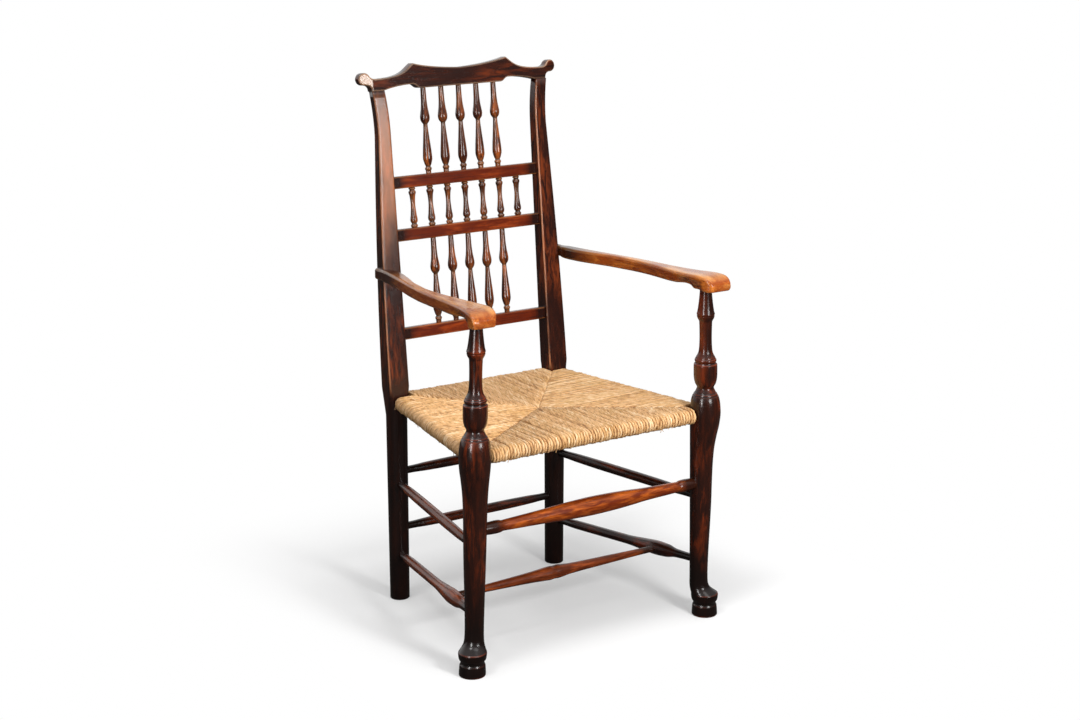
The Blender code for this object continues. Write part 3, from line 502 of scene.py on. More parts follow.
@dataclass(frozen=True)
class TwistedRush:
    """Freshwater rush, dried, damped and twisted into cords by hand."""

    name: str = "twisted_rush_dried"
    straw: str = "#e9b87f"
    pale: str = "#ffe7c0"
    brown: str = "#8a5423"
    green: str = "#d1a05e"
    twist_mm: float = 55.0
    patch_mm: float = 45.0
    # Scale of the leaves in a cord's radii, their further scale along it in metres, and how far cords differ
    leaf_scale: float = 2.2
    leaf_length_scale: float = 12.0
    lot_share: float = 0.13
    roughness: float = 0.55
    ior: float = 1.45

    def material(self) -> Material:
        """Makes the material.

        Returns:
            Leaves that wind round each cord, in straw, pale and brown, with a dry sheen, ridges that follow
            the twist and painted shade in brown down the sides of the cords, where they meet. The leaves are
            drawn coarser than the real ones, so that they show.
        """
        material, tree = add_material(self.name)
        shader = tree.nodes["Principled BSDF"]
        shader.inputs["IOR"].default_value = self.ior
        shader.inputs["Roughness"].default_value = self.roughness
        lay = add_node(tree, "ShaderNodeAttribute", {"attribute_name": "lay"}).outputs["Vector"]
        parts = add_node(tree, "ShaderNodeSeparateXYZ", {}, {0: lay})
        angle = add_node(
            tree, "ShaderNodeMath", {"operation": "MULTIPLY"},
            {0: parts.outputs["Z"], 1: 2.0 * math.pi * per_metre(self.twist_mm)},
        ).outputs[0]
        wound = add_node(
            tree, "ShaderNodeVectorRotate", {"rotation_type": "Z_AXIS"}, {"Vector": lay, "Angle": angle},
        ).outputs[0]
        drawn = add_node(
            tree, "ShaderNodeMapping", {}, {"Vector": wound, "Scale": (1.0, 1.0, self.leaf_length_scale)},
        ).outputs["Vector"]
        tone = add_node(tree, "ShaderNodeAttribute", {"attribute_name": "tone"}).outputs["Fac"]
        leaves = add_node(
            tree, "ShaderNodeTexNoise", {"noise_dimensions": "4D"},
            {"Vector": drawn, "W": tone, "Scale": self.leaf_scale, "Detail": 3.0, "Roughness": 0.6},
        ).outputs["Fac"]
        lot = add_node(
            tree, "ShaderNodeTexWhiteNoise", {"noise_dimensions": "1D"}, {"W": tone},
        ).outputs["Value"]
        place = add_node(tree, "ShaderNodeTexCoord").outputs["Object"]
        patches = add_node(
            tree, "ShaderNodeTexNoise", {},
            {"Vector": place, "Scale": per_metre(self.patch_mm), "Detail": 3.0},
        ).outputs["Fac"]
        uneven = add_node(
            tree, "ShaderNodeMath", {"operation": "MULTIPLY_ADD"}, {0: lot, 1: self.lot_share, 2: leaves},
        ).outputs[0]
        # How far round to the side of its cord a place lies, where the painted shade between the cords falls
        sideways = add_node(
            tree, "ShaderNodeMath", {"operation": "ABSOLUTE"}, {0: parts.outputs["X"]},
        ).outputs[0]
        # Aged patches, pale leaves, brown leaves and the painted shade where the cords meet: what each
        # follows, where it starts, where it is full, how much it covers then, and its colour
        colour = linear(self.straw)
        for value, start, full, most, layer in (
            (patches, 0.45, 0.75, 0.60, self.green), (uneven, 0.58, 0.78, 1.00, self.pale),
            (uneven, 0.58, 0.38, 0.85, self.brown), (sideways, 0.55, 0.90, 0.45, self.brown),
        ):
            share = add_node(
                tree, "ShaderNodeMapRange", {"interpolation_type": "SMOOTHSTEP"},
                {"Value": value, "From Min": start, "From Max": full, "To Max": most},
            ).outputs["Result"]
            colour = add_node(
                tree, "ShaderNodeMix", {"data_type": "RGBA"}, {0: share, 6: colour, 7: linear(layer)},
            ).outputs[2]
        relief = add_node(
            tree, "ShaderNodeBump", {}, {"Strength": 0.5, "Distance": 0.0006, "Height": leaves},
        ).outputs["Normal"]
        tree.links.new(colour, shader.inputs["Base Color"])
        tree.links.new(relief, shader.inputs["Normal"])
        return material


@dataclass(frozen=True)
class Stance:
    """Where the four legs stand, and the heights that the other pieces hang on."""

    front_spread: float = 0.5478
    front_lean: float = 0.0221
    front_y: float = -0.2272
    depth: float = 0.4162
    rail_height: float = 0.4195
    arm_underside: float = 0.6700

    @property
    def rear_y(self) -> float:
        """The rear leg axis."""
        return self.front_y + self.depth

    def front_axis(self, height: float, side: Side) -> Vector:
        """Returns the point of a front leg's turning axis at a height."""
        x = self.front_spread / 2.0 - self.front_lean * height
        return Vector((side.value * x, self.front_y, height))


@dataclass(frozen=True)
class RakedBack:
    """The raked plane of the back: its two uprights, and the heights of its rails up the rake."""

    stance: Stance
    rake: float = math.radians(6.2)
    inner: float = 0.1682
    seat_width: float = 0.0445
    waist_width: float = 0.0312
    top_width: float = 0.0268
    seat_depth: float = 0.0370
    top_depth: float = 0.0205
    taper: float = 1.7
    flare: float = 0.0070
    flare_height: float = 0.0850
    seat_gap: float = 0.1215
    rail_height: float = 0.0238
    rail_thickness: float = 0.0160
    rail_setback: float = 0.0080
    lower_length: float = 0.1722
    middle_length: float = 0.0802
    upper_length: float = 0.1693

    @property
    def matrix(self) -> Matrix:
        """The frame in which X runs across the back, Y into it and Z up the rake."""
        foot = Vector((0.0, self.stance.rear_y - self.seat_depth / 2.0, self.stance.rail_height))
        return Matrix.Translation(foot) @ Matrix.Rotation(-self.rake, 4, "X")

    @property
    def leg_x(self) -> float:
        """The rear leg axis from the middle plane."""
        return self.inner + self.seat_width / 2.0

    @property
    def middle_rail(self) -> float:
        """The underside of the middle rail."""
        return self.seat_gap + self.rail_height + self.lower_length

    @property
    def upper_rail(self) -> float:
        """The underside of the upper rail."""
        return self.middle_rail + self.rail_height + self.middle_length

    @property
    def waist(self) -> float:
        """The top of the upper rail, where the uprights are slim."""
        return self.upper_rail + self.rail_height

    @property
    def crest(self) -> float:
        """The tops of the uprights, where the crest sits."""
        return self.waist + self.upper_length

    @property
    def spindle_depth(self) -> float:
        """The axes of the spindles, behind the front of the uprights."""
        return self.rail_setback + self.rail_thickness / 2.0

    def post_inner(self, height: float) -> float:
        """Returns the inner face of an upright at a height up the rake."""
        above = max(0.0, height - self.crest + self.flare_height) / self.flare_height
        return self.inner + self.flare * above ** 2

    def post_width(self, height: float) -> float:
        """Returns the width of an upright at a height up the rake."""
        if height <= self.waist:
            share = (max(0.0, height) / self.waist) ** self.taper
            return mix(self.seat_width, self.waist_width, share)
        top = self.crest - self.flare_height
        return mix(self.waist_width, self.top_width, ramp(height, self.waist, top))

    def post_depth(self, height: float) -> float:
        """Returns the depth of an upright at a height up the rake."""
        return mix(self.seat_depth, self.top_depth, max(0.0, height) / self.crest)


@dataclass(frozen=True)
class RearPosts:
    """The two posts: a round back leg and a raked square upright in one length."""

    back: RakedBack
    finish: StainedWood
    foot_radius: float = 0.0198
    foot_edge: float = 0.0015
    corner: float = 0.0030
    square_rise: float = 0.0300
    twist: float = math.radians(6.0)
    # How far the front of the right upright is lightened, partly by the hand's wear and partly as painted
    # sheen, the heights between which that begins and ends, and how squarely a place faces the front where it
    # begins and where it is full
    faded: float = 0.55
    fade_heights: tuple[float, float] = (0.64, 0.84)
    fade_top: tuple[float, float] = (0.96, 1.10)
    fade_facing: tuple[float, float] = (0.80, 0.97)
    dirt_reach: float = 0.48
    leg_steps: int = 16
    shoulder_steps: int = 12
    upright_steps: int = 40

    def leg(self, height: float, side: Side) -> tuple[Vector, float]:
        """Returns the centre and the radius of the back leg at a height above the floor."""
        stance = self.back.stance
        top_radius = self.back.seat_depth / 2.0 + self.corner
        radius = mix(self.foot_radius, top_radius, height / stance.rail_height)
        return Vector((side.value * self.back.leg_x, stance.rear_y, height)), radius

    def section(self, height: float, side: Side) -> list[Vector]:
        """Returns the points round an upright at a height up the rake."""
        width = self.back.post_width(height)
        depth = self.back.post_depth(height)
        centre = Vector((side.value * (self.back.post_inner(height) + width / 2.0), depth / 2.0, height))
        turn = Matrix.Rotation(side.value * self.twist * ramp(height, 0.0, self.back.crest), 3, "Z")
        outline = rounded_box(width / 2.0, depth / 2.0, self.corner)
        return [self.back.matrix @ (centre + turn @ point) for point in outline]

    def thinned(self, vert: BMVert) -> float:
        """Returns how far a place on the front of the right upright is lightened: partly hand wear, partly
        painted sheen.
        """
        front = ramp(-vert.normal.y, *self.fade_facing)
        height = ramp(vert.co.z, *self.fade_heights) - ramp(vert.co.z, *self.fade_top)
        return self.faded * front * height

    def build(self, side: Side, material: Material) -> Object:
        """Builds and dresses one post.

        Args:
            side: the post's side.
            material: the stained wood.

        Returns:
            The piece.
        """
        square = self.section(self.square_rise, side)
        around = circle(len(square))
        start = self.back.stance.rail_height - self.square_rise
        levels = [0.0, self.foot_edge]
        levels += [start * step / self.leg_steps for step in range(1, self.leg_steps + 1)]
        loops = []
        for height in levels:
            centre, radius = self.leg(height, side)
            reach = radius - self.foot_edge if height == 0.0 else radius
            loops.append([centre + point * reach for point in around])
        for step in range(1, self.shoulder_steps):
            share = step / self.shoulder_steps
            loops.append([a.lerp(b, share) for a, b in zip(loops[len(levels) - 1], square)])
        for step in range(self.upright_steps + 1):
            height = mix(self.square_rise, self.back.crest, step / self.upright_steps)
            loops.append(self.section(height, side))
        bm = lofted(loops)
        node = f"rear_post_{side.word}"
        lay_grain(bm, Run.ALONG_Z, node)
        # Only the edges that face forwards and to the sitter's right are pale: a painted highlight of the
        # light from that side
        highlight_facing = Vector((-1.0, -1.0, 0.0)).normalized()
        # The floor is taken as a joint, so the wood darkens from the floor upwards
        rub(bm, joints=(0.0,), spread=self.dirt_reach, highlight_facing=highlight_facing)
        # The front of the right upright between the rails is lightened: partly hand wear, partly painted
        # sheen
        if side is Side.RIGHT:
            wear(bm, self.thinned)
        return add_piece(bm, node, material)


@dataclass(frozen=True)
class FrontLegs:
    """The two front legs: pad foot, club shank, knee and turned arm support in one length."""

    stance: Stance
    finish: StainedWood
    ankle_radius: float = 0.0180
    ankle_height: float = 0.0850
    knee_radius: float = 0.0300
    knee_height: float = 0.4235
    neck_radius: float = 0.0165
    neck_height: float = 0.4740
    baluster_radius: float = 0.0230
    shaft_radius: float = 0.0119
    cone_radius: float = 0.0176
    top_radius: float = 0.0112
    tenon_radius: float = 0.0080
    tenon_length: float = 0.0130
    line_depth: float = 0.0009
    line_width: float = 0.0011
    lines: tuple[float, ...] = (0.4590, 0.4640, 0.5245, 0.5330, 0.6185)
    # How far the inner side of the left arm support, the side that the light falls on, is painted lighter,
    # the heights between which that begins, and how squarely a place faces inwards where it begins and where
    # it is full
    faded: float = 0.66
    fade_heights: tuple[float, float] = (0.47, 0.56)
    fade_facing: tuple[float, float] = (0.30, 0.85)
    dirt_reach: float = 0.20
    step: float = 0.0014
    sides: int = 48
    # Height, radius and shift off the axis of the block, the groove, the pad and the instep of the foot
    foot: tuple[tuple[float, float, float], ...] = (
        (0.0000, 0.0240, 0.0), (0.0015, 0.0254, 0.0), (0.0195, 0.0244, 0.0), (0.0215, 0.0240, 0.0),
        (0.0242, 0.0226, 0.0), (0.0265, 0.0222, 0.0), (0.0290, 0.0233, 0.0), (0.0330, 0.0257, 0.0),
        (0.0385, 0.0267, 0.0), (0.0435, 0.0270, 0.0), (0.0458, 0.0267, 0.0003), (0.0472, 0.0257, 0.0016),
        (0.0505, 0.0237, 0.0044), (0.0545, 0.0214, 0.0077), (0.0600, 0.0195, 0.0103),
        (0.0690, 0.0184, 0.0118),
    )
    # From here on: share of the height, and share of the way from the thin radius to the thick one
    shank_shape: tuple[tuple[float, float], ...] = (
        (0.00, 0.00), (0.18, 0.085), (0.31, 0.185), (0.47, 0.285), (0.58, 0.323), (0.69, 0.385),
        (0.78, 0.492), (0.87, 0.715), (0.93, 0.90), (1.00, 1.00),
    )
    knee_shape: tuple[tuple[float, float], ...] = (
        (0.27, 0.95), (0.45, 0.87), (0.66, 0.66), (0.77, 0.44), (0.87, 0.18), (1.00, 0.00),
    )
    baluster_foot: tuple[tuple[float, float], ...] = (
        (0.045, 0.60), (0.09, 0.90), (0.14, 1.00), (0.20, 1.00), (0.241, 0.94),
    )
    baluster_top: tuple[tuple[float, float], ...] = (
        (0.247, 0.80), (0.262, 0.78), (0.277, 0.84), (0.293, 0.79), (0.308, 0.64), (0.33, 0.40), (0.36, 0.18),
        (0.41, 0.06), (0.51, 0.00),
    )
    cone_foot: tuple[tuple[float, float], ...] = ((0.67, 0.12), (0.71, 0.75), (0.745, 1.00))
    cone_top: tuple[tuple[float, float], ...] = ((0.775, 0.78), (0.89, 0.30), (1.00, 0.00))

    def inward(self, side: Side) -> Vector:
        """Returns the level diagonal from a leg towards the middle of the seat."""
        return Vector((-side.value, 1.0, 0.0)).normalized()

    def shank(self, height: float, side: Side) -> tuple[Vector, float]:
        """Returns the centre and the radius of the shank at a height, for the stretchers."""
        rows = [(mix(self.ankle_height, self.knee_height, share), radius)
                for share, radius in swelling(self.shank_shape, self.ankle_radius, self.knee_radius)]
        radius = next(
            mix(low[1], high[1], ramp(height, low[0], high[0]))
            for low, high in zip(rows, rows[1:]) if height <= high[0]
        )
        return self.stance.front_axis(height, side) + self.inward(side) * (self.knee_radius - radius), radius

    def stations(self) -> list[tuple[float, float, float]]:
        """Returns (height, radius, shift) rows of the turning, the shift being off its axis."""
        rows = list(self.foot)
        for share, radius in swelling(self.shank_shape, self.ankle_radius, self.knee_radius):
            height = mix(self.ankle_height, self.knee_height, share)
            rows.append((height, radius, self.knee_radius - radius))
        for share, radius in swelling(self.knee_shape, self.neck_radius, self.knee_radius):
            rows.append((mix(self.knee_height, self.neck_height, share), radius, 0.0))
        support = swelling(self.baluster_foot, self.neck_radius, self.baluster_radius)
        support += swelling(self.baluster_top, self.shaft_radius, self.baluster_radius)
        support += swelling(self.cone_foot, self.shaft_radius, self.cone_radius)
        support += swelling(self.cone_top, self.top_radius, self.cone_radius)
        for share, radius in support:
            rows.append((mix(self.neck_height, self.stance.arm_underside, share), radius, 0.0))
        return rows

    def thinned(self, vert: BMVert) -> float:
        """Returns how far a place on the inner, lit side of the left arm support is painted lighter."""
        inside = ramp(-vert.normal.x, *self.fade_facing)
        return self.faded * inside * ramp(vert.co.z, *self.fade_heights)

    def build(self, side: Side, material: Material) -> Object:
        """Builds and dresses one leg.

        Args:
            side: the leg's side.
            material: the stained wood.

        Returns:
            The piece.
        """
        around = circle(self.sides)
        loops = []
        for height, radius, shift in smoothed(self.stations(), self.step):
            cuts = [math.exp(-((height - line) / self.line_width) ** 2) for line in self.lines]
            reach = radius - self.line_depth * max(cuts)
            centre = self.stance.front_axis(height, side) + self.inward(side) * shift
            loops.append([centre + point * reach for point in around])
        for rise in (0.0, self.tenon_length):
            centre = self.stance.front_axis(self.stance.arm_underside + rise, side)
            loops.append([centre + point * self.tenon_radius for point in around])
        bm = lofted(loops)
        node = f"front_leg_{side.word}"
        lay_grain(bm, Run.ALONG_Z, node)
        # The floor is taken as a joint, so the wood darkens from the floor upwards
        rub(bm, joints=(0.0,), spread=self.dirt_reach)
        # The inner side of the left arm support, which faces the light, is painted lighter
        if side is Side.LEFT:
            wear(bm, self.thinned)
        return add_piece(bm, node, material)


@dataclass(frozen=True)
class BackPanel:
    """What fills the back: three rails, three rows of spindles and the crest."""

    back: RakedBack
    rail_corner: float = 0.0028
    tenon: float = 0.0080
    outer_count: int = 5
    middle_count: int = 7
    margin: float = 0.0458
    neck_radius: float = 0.0044
    bulb_radius: float = 0.0096
    tenon_radius: float = 0.0038
    spindle_sides: int = 24
    crest_thickness: float = 0.0215
    crest_setback: float = 0.0025
    crest_centre: float = 0.0352
    crest_peak: float = 0.0490
    crest_end: float = 0.0238
    shoulder_margin: float = 0.0110
    shoulder_run: float = 0.0200
    shoulder_rise: float = 0.0085
    ear_radius: float = 0.0120
    ear_reach: float = 0.0142
    ear_rise: float = 0.0247
    crest_edge: float = 0.0030
    crest_inset: float = 0.0015
    ear_tilt: float = math.radians(9.0)
    ear_overlap: float = 0.0020
    # How far the face of the right ear is painted pale as a highlight, how far past its root that begins and
    # is full, and how squarely a place faces the front there
    ear_wear: float = 1.0
    ear_wear_run: tuple[float, float] = (-0.001, 0.002)
    ear_wear_facing: tuple[float, float] = (0.6, 0.9)
    # Shares that place the crest's ends, its peaks and the handles of the curves between them
    end_share: float = 0.60
    peak_share: float = 0.75
    brow_share: float = 0.60
    end_handle: float = 0.24
    brow_handle: float = 0.20
    saddle_share: float = 0.25
    saddle_handle: float = 0.64
    # Steps along the crest's flats, its bends, its seats on the posts, the sweeps to its ears and its peaks
    flat_steps: int = 8
    bend_steps: int = 10
    seat_steps: int = 4
    sweep_steps: int = 8
    peak_steps: int = 18
    # The first and the last turn of an ear's scroll, and the turn from point to point, in degrees
    scroll: tuple[int, int, int] = (-80, 150, 10)
    rail_steps: int = 32
    rail_dirt_reach: float = 0.032
    spindle_step: float = 0.0016
    # Share of a spindle's length, and share of the way from its neck's radius to its bulb's
    long_shape: tuple[tuple[float, float], ...] = (
        (0.00, 0.17), (0.035, 0.20), (0.050, 0.46), (0.063, 0.46), (0.080, 0.06), (0.105, 0.40), (0.18, 0.94),
        (0.26, 0.80), (0.42, 0.34), (0.575, 0.00), (0.595, 0.45), (0.62, 0.86), (0.655, 1.00), (0.70, 0.82),
        (0.76, 0.50), (0.85, 0.27), (1.00, 0.15),
    )
    short_shape: tuple[tuple[float, float], ...] = (
        (0.00, 0.17), (0.04, 0.50), (0.06, 0.50), (0.10, 0.08), (0.15, 0.50), (0.19, 0.57), (0.32, 0.31),
        (0.58, 0.03), (0.80, 0.29), (0.87, 0.57), (0.90, 0.50), (0.935, 0.08), (0.96, 0.46), (0.975, 0.46),
        (1.00, 0.17),
    )

    @property
    def pitch(self) -> float:
        """Distance between two spindles."""
        return 2.0 * (self.back.inner - self.margin) / (self.middle_count - 1)

    def build_rail(self, level: str, base: float, material: Material) -> Object:
        """Builds and dresses one cross rail.

        Args:
            level: its place in the back.
            base: its underside, up the rake.
            material: the stained wood.

        Returns:
            The piece.
        """
        back = self.back
        outline = rounded_box(back.rail_thickness / 2.0, back.rail_height / 2.0, self.rail_corner)
        middle = Vector((0.0, back.spindle_depth, base + back.rail_height / 2.0))
        reach = back.inner + self.tenon
        loops = []
        for step in range(self.rail_steps + 1):
            x = mix(-reach, reach, step / self.rail_steps)
            loops.append([middle + Vector((x, point.x, point.y)) for point in outline])
        bm = lofted(loops)
        node = f"back_rail_{level}"
        lay_grain(bm, Run.ALONG_X, node)
        rub(bm, joints=(-back.inner, back.inner), axis=0, spread=self.rail_dirt_reach)
        bm.transform(back.matrix)
        return add_piece(bm, node, material)

    def build_spindles(self, row: str, count: int, bottom: float, top: float, material: Material) -> None:
        """Builds and dresses one row of spindles.

        Args:
            row: its place in the back.
            count: how many spindles it has.
            bottom: the top of the rail under it, up the rake.
            top: the underside of the rail over it.
            material: the stained wood.
        """
        shape = self.short_shape if row == "middle" else self.long_shape
        stations = [(share * (top - bottom), radius)
                    for share, radius in swelling(shape, self.neck_radius, self.bulb_radius)]
        profile = [(-self.tenon, self.tenon_radius), (0.0, self.tenon_radius)]
        profile += smoothed(stations, self.spindle_step)
        profile += [(top - bottom, self.tenon_radius), (top - bottom + self.tenon, self.tenon_radius)]
        for index in range(count):
            node = f"{row}_spindle_{index + 1}"
            bm = turned(profile, self.spindle_sides)
            lay_grain(bm, Run.ALONG_Z, node)
            rub(bm)
            x = (index - (count - 1) / 2.0) * self.pitch
            bm.transform(self.back.matrix @ Matrix.Translation((x, self.back.spindle_depth, bottom)))
            add_piece(bm, node, material)

    def crest_half(self) -> list[Vector]:
        """Returns the crest's outline on the left, from the middle of its underside to that of its top."""
        back = self.back
        inner = back.post_inner(back.crest)
        outer = inner + back.top_width
        shoulder = (self.outer_count - 1) / 2.0 * self.pitch + self.shoulder_margin
        arch = shoulder + self.shoulder_run
        bend = mix(shoulder, arch, 0.5)
        rise = self.shoulder_rise
        points = [Vector((shoulder * step / self.flat_steps, 0.0)) for step in range(self.flat_steps + 1)]
        points += bezier(((shoulder, 0.0), (bend, 0.0), (bend, rise), (arch, rise)), self.bend_steps)
        points += bezier(((arch, rise), (mix(arch, inner, 0.5), rise), (inner, 0.0)), self.bend_steps)
        for step in range(1, self.seat_steps + 1):
            points.append(Vector((mix(inner, outer, step / self.seat_steps), 0.0)))
        ear = Vector((outer + self.ear_reach, self.ear_rise))
        under = self.ear_rise - self.ear_radius
        points += bezier(((outer, 0.0), (outer, under), (ear.x, under)), self.sweep_steps)
        first, last, between = self.scroll
        for degrees in range(first, last + 1, between):
            turn = math.radians(degrees)
            points.append(ear + self.ear_radius * Vector((math.cos(turn), math.sin(turn))))
        end = mix(inner, outer, self.end_share)
        points += bezier((points[-1], (outer, self.crest_end), (end, self.crest_end)), self.sweep_steps)
        peak = mix(shoulder, arch, self.peak_share)
        brow = mix(self.crest_end, self.crest_peak, self.brow_share)
        points += bezier((
            (end, self.crest_end), (mix(peak, end, self.end_handle), self.crest_end),
            (mix(peak, end, self.brow_handle), brow), (peak, self.crest_peak),
        ), self.peak_steps)
        saddle = mix(self.crest_centre, self.crest_peak, self.saddle_share)
        points += bezier((
            (peak, self.crest_peak), (self.saddle_handle * peak, saddle), (0.0, self.crest_centre),
        ), self.peak_steps)
        return points

    def build_crest(self, material: Material) -> Object:
        """Builds and dresses the crest rail.

        Args:
            material: the stained wood.

        Returns:
            The piece, with rounded edges along its whole outline.
        """
        half = self.crest_half()
        outline = half + [Vector((-point.x, point.y)) for point in reversed(half[1:-1])]
        depths = (self.crest_setback, self.crest_setback + self.crest_thickness)
        bm = lofted([[Vector((p.x, depth, self.back.crest + p.y)) for p in outline] for depth in depths])
        faces = [face for face in bm.faces if len(face.verts) > 4]
        rims = [edge for face in faces for edge in face.edges]
        bmesh.ops.bevel(
            bm, geom=rims, offset=self.crest_edge, segments=5, profile=0.5, affect="EDGES", material=-1,
            clamp_overlap=True,
        )
        for face in [face for face in bm.faces if len(face.verts) > 4]:
            bmesh.ops.inset_region(bm, faces=[face], thickness=self.crest_inset, use_even_offset=True)
        outer = self.back.post_inner(self.back.crest) + self.back.top_width - self.ear_overlap
        for side in Side:
            bmesh.ops.bisect_plane(
                bm, geom=bm.verts[:] + bm.edges[:] + bm.faces[:], dist=MERGE,
                plane_co=(side.value * outer, 0.0, 0.0), plane_no=(1.0, 0.0, 0.0),
            )
        for vert in bm.verts:
            if vert.co.y < mix(*depths, 0.5):
                vert.co.y += max(0.0, abs(vert.co.x) - outer) * math.tan(self.ear_tilt)
        lay_grain(bm, Run.ALONG_X, "crest_rail")
        rub(bm)

        def thinned(vert: BMVert) -> float:
            """Returns how far a place on the face of the right ear is painted pale as a highlight."""
            past = ramp(-vert.co.x - outer, *self.ear_wear_run)
            return self.ear_wear * past * ramp(-vert.normal.y, *self.ear_wear_facing)

        # The right ear's face is painted pale as a highlight
        wear(bm, thinned)
        bm.transform(self.back.matrix)
        return add_piece(bm, "crest_rail", material)

    def build(self, rail_material: Material, spindle_material: Material, crest_material: Material) -> None:
        """Builds and dresses the whole panel.

        Args:
            rail_material: the stained wood of the rails.
            spindle_material: the stained wood of the spindles.
            crest_material: the stained wood of the crest.
        """
        back = self.back
        levels = {"lower": back.seat_gap, "middle": back.middle_rail, "upper": back.upper_rail}
        for level, base in levels.items():
            self.build_rail(level, base, rail_material)
        lower_top = back.seat_gap + back.rail_height
        middle_top = back.middle_rail + back.rail_height
        self.build_spindles("lower", self.outer_count, lower_top, back.middle_rail, spindle_material)
        self.build_spindles("middle", self.middle_count, middle_top, back.upper_rail, spindle_material)
        self.build_spindles("upper", self.outer_count, back.waist, back.crest, spindle_material)
        self.build_crest(crest_material)


@dataclass(frozen=True)
class Arms:
    """The two arms, lapped outside the posts, bowed, with broad drooped hands on the supports."""

    back: RakedBack
    lap_thickness: float = 0.0122
    lap_inside: float = 0.0020
    lap_length: float = 0.0150
    thickness: float = 0.0225
    rise: float = 0.0045
    waist_half_width: float = 0.0100
    hand_half_width: float = 0.0290
    crown: float = 0.0080
    reach: float = 0.0390
    corner: float = 0.0055
    # Share of the length from lap to nose, share of the way sideways from lap to hand, share of the way
    # from the waist's width to the hand's, and the rise of the top and of the underside in crowns
    shape: tuple[tuple[float, ...], ...] = (
        (0.08, -0.03, 0.08, 0.15, 0.00), (0.17, 0.06, 0.20, 0.20, 0.05), (0.23, 0.19, 0.15, 0.22, 0.05),
        (0.29, 0.34, 0.07, 0.25, 0.05), (0.35, 0.50, 0.00, 0.28, 0.04), (0.42, 0.63, 0.00, 0.32, 0.06),
        (0.48, 0.73, 0.01, 0.36, 0.10), (0.54, 0.78, 0.06, 0.40, 0.18), (0.60, 0.81, 0.16, 0.45, 0.26),
        (0.67, 0.81, 0.27, 0.52, 0.34), (0.73, 0.82, 0.42, 0.58, 0.42), (0.79, 0.84, 0.58, 0.66, 0.62),
        (0.84, 0.87, 0.72, 0.76, 0.90), (0.87, 0.90, 0.81, 0.84, 0.60), (0.89, 0.92, 0.90, 0.88, 0.00),
        (0.92, 0.97, 0.95, 0.93, 0.00), (0.95, 1.03, 0.97, 0.86, 0.00), (0.97, 1.07, 0.94, 0.64, -0.08),
        (0.985, 1.10, 0.86, 0.22, -0.10), (0.995, 1.13, 0.75, -0.40, 0.00), (1.00, 1.15, 0.64, -1.00, 0.25),
    )
    # Where along the arm the hollow under the side of the hand starts, is deepest and ends
    scoop_run: tuple[float, float, float, float] = (0.790, 0.860, 0.915, 0.960)
    scoop: float = 0.42
    # The most of half the arm's height that its corners take, and where down its side the hollow begins and
    # is full, in half heights below the middle
    corner_share: float = 0.8
    scoop_fall: tuple[float, float] = (-0.35, 0.45)
    # How far the top is polished, and how far from the rear end that begins and is full
    polished: float = 0.62
    polish_run: tuple[float, float] = (0.06, 0.24)
    dirt_reach: float = 0.150
    step: float = 0.0035

    def stations(self) -> list[tuple[float, ...]]:
        """Returns (distance from the rear end, x, half width, underside, top, y) rows of the left arm."""
        stance = self.back.stance
        level = stance.arm_underside - self.rise + self.thickness / 2.0 - stance.rail_height
        level /= math.cos(self.back.rake)
        outer = self.back.post_inner(level) + self.back.post_width(level)
        rear_y = (self.back.matrix @ Vector((0.0, 0.0, level))).y + self.lap_length
        length = rear_y - stance.front_y + self.reach
        lap_x = outer + (self.lap_thickness - self.lap_inside) / 2.0
        lap_half_width = (self.lap_thickness + self.lap_inside) / 2.0
        hand_x = stance.front_axis(stance.arm_underside, Side.LEFT).x
        rows = [(0.0, lap_x, lap_half_width, 0.0, 0.0), (self.lap_length, lap_x, lap_half_width, 0.0, 0.0)]
        for share, sideways, widening, top, under in self.shape:
            half_width = mix(self.waist_half_width, self.hand_half_width, widening)
            rows.append((share * length, mix(lap_x, hand_x, sideways), half_width, top, under))
        arm = []
        for distance, x, half_width, top, under in rows:
            fall = self.rise * max(0.0, 1.0 - distance / (length - self.reach))
            base = stance.arm_underside - fall
            arm.append((
                distance, x, half_width, base + self.crown * under, base + self.thickness + self.crown * top,
                rear_y - distance,
            ))
        return arm

    def build(self, side: Side, material: Material) -> Object:
        """Builds and dresses one arm.

        Args:
            side: the arm's side.
            material: the arms' stained wood, rubbed pale.

        Returns:
            The piece.
        """
        rows = smoothed(self.stations(), self.step)
        rear_y = rows[0][-1]
        loops = []
        start, deep, last, end = self.scoop_run
        for distance, x, half_width, under, top, y in rows:
            share = distance / rows[-1][0]
            hollow = self.scoop * ramp(share, start, deep) * ramp(-share, -end, -last)
            half_height = (top - under) / 2.0
            corner = min(self.corner, self.corner_share * half_height)
            outline = rounded_box(half_width, half_height, corner)
            centre = Vector((side.value * x, y, (top + under) / 2.0))
            loop = []
            for point in outline:
                narrow = 1.0 - hollow * ramp(-point.y / half_height, *self.scoop_fall)
                loop.append(centre + Vector((point.x * narrow, 0.0, point.y)))
            loops.append(loop)
        bm = lofted(loops)
        node = f"arm_{side.word}"
        lay_grain(bm, Run.ALONG_Y, node)
        rub(bm, joints=(rear_y,), axis=1, spread=self.dirt_reach)

        def thinned(vert: BMVert) -> float:
            """Returns how far the sitter's arm has polished a place on top."""
            return self.polished * ramp(vert.normal.z, *FACING) * ramp(rear_y - vert.co.y, *self.polish_run)

        wear(bm, thinned)
        return add_piece(bm, node, material)


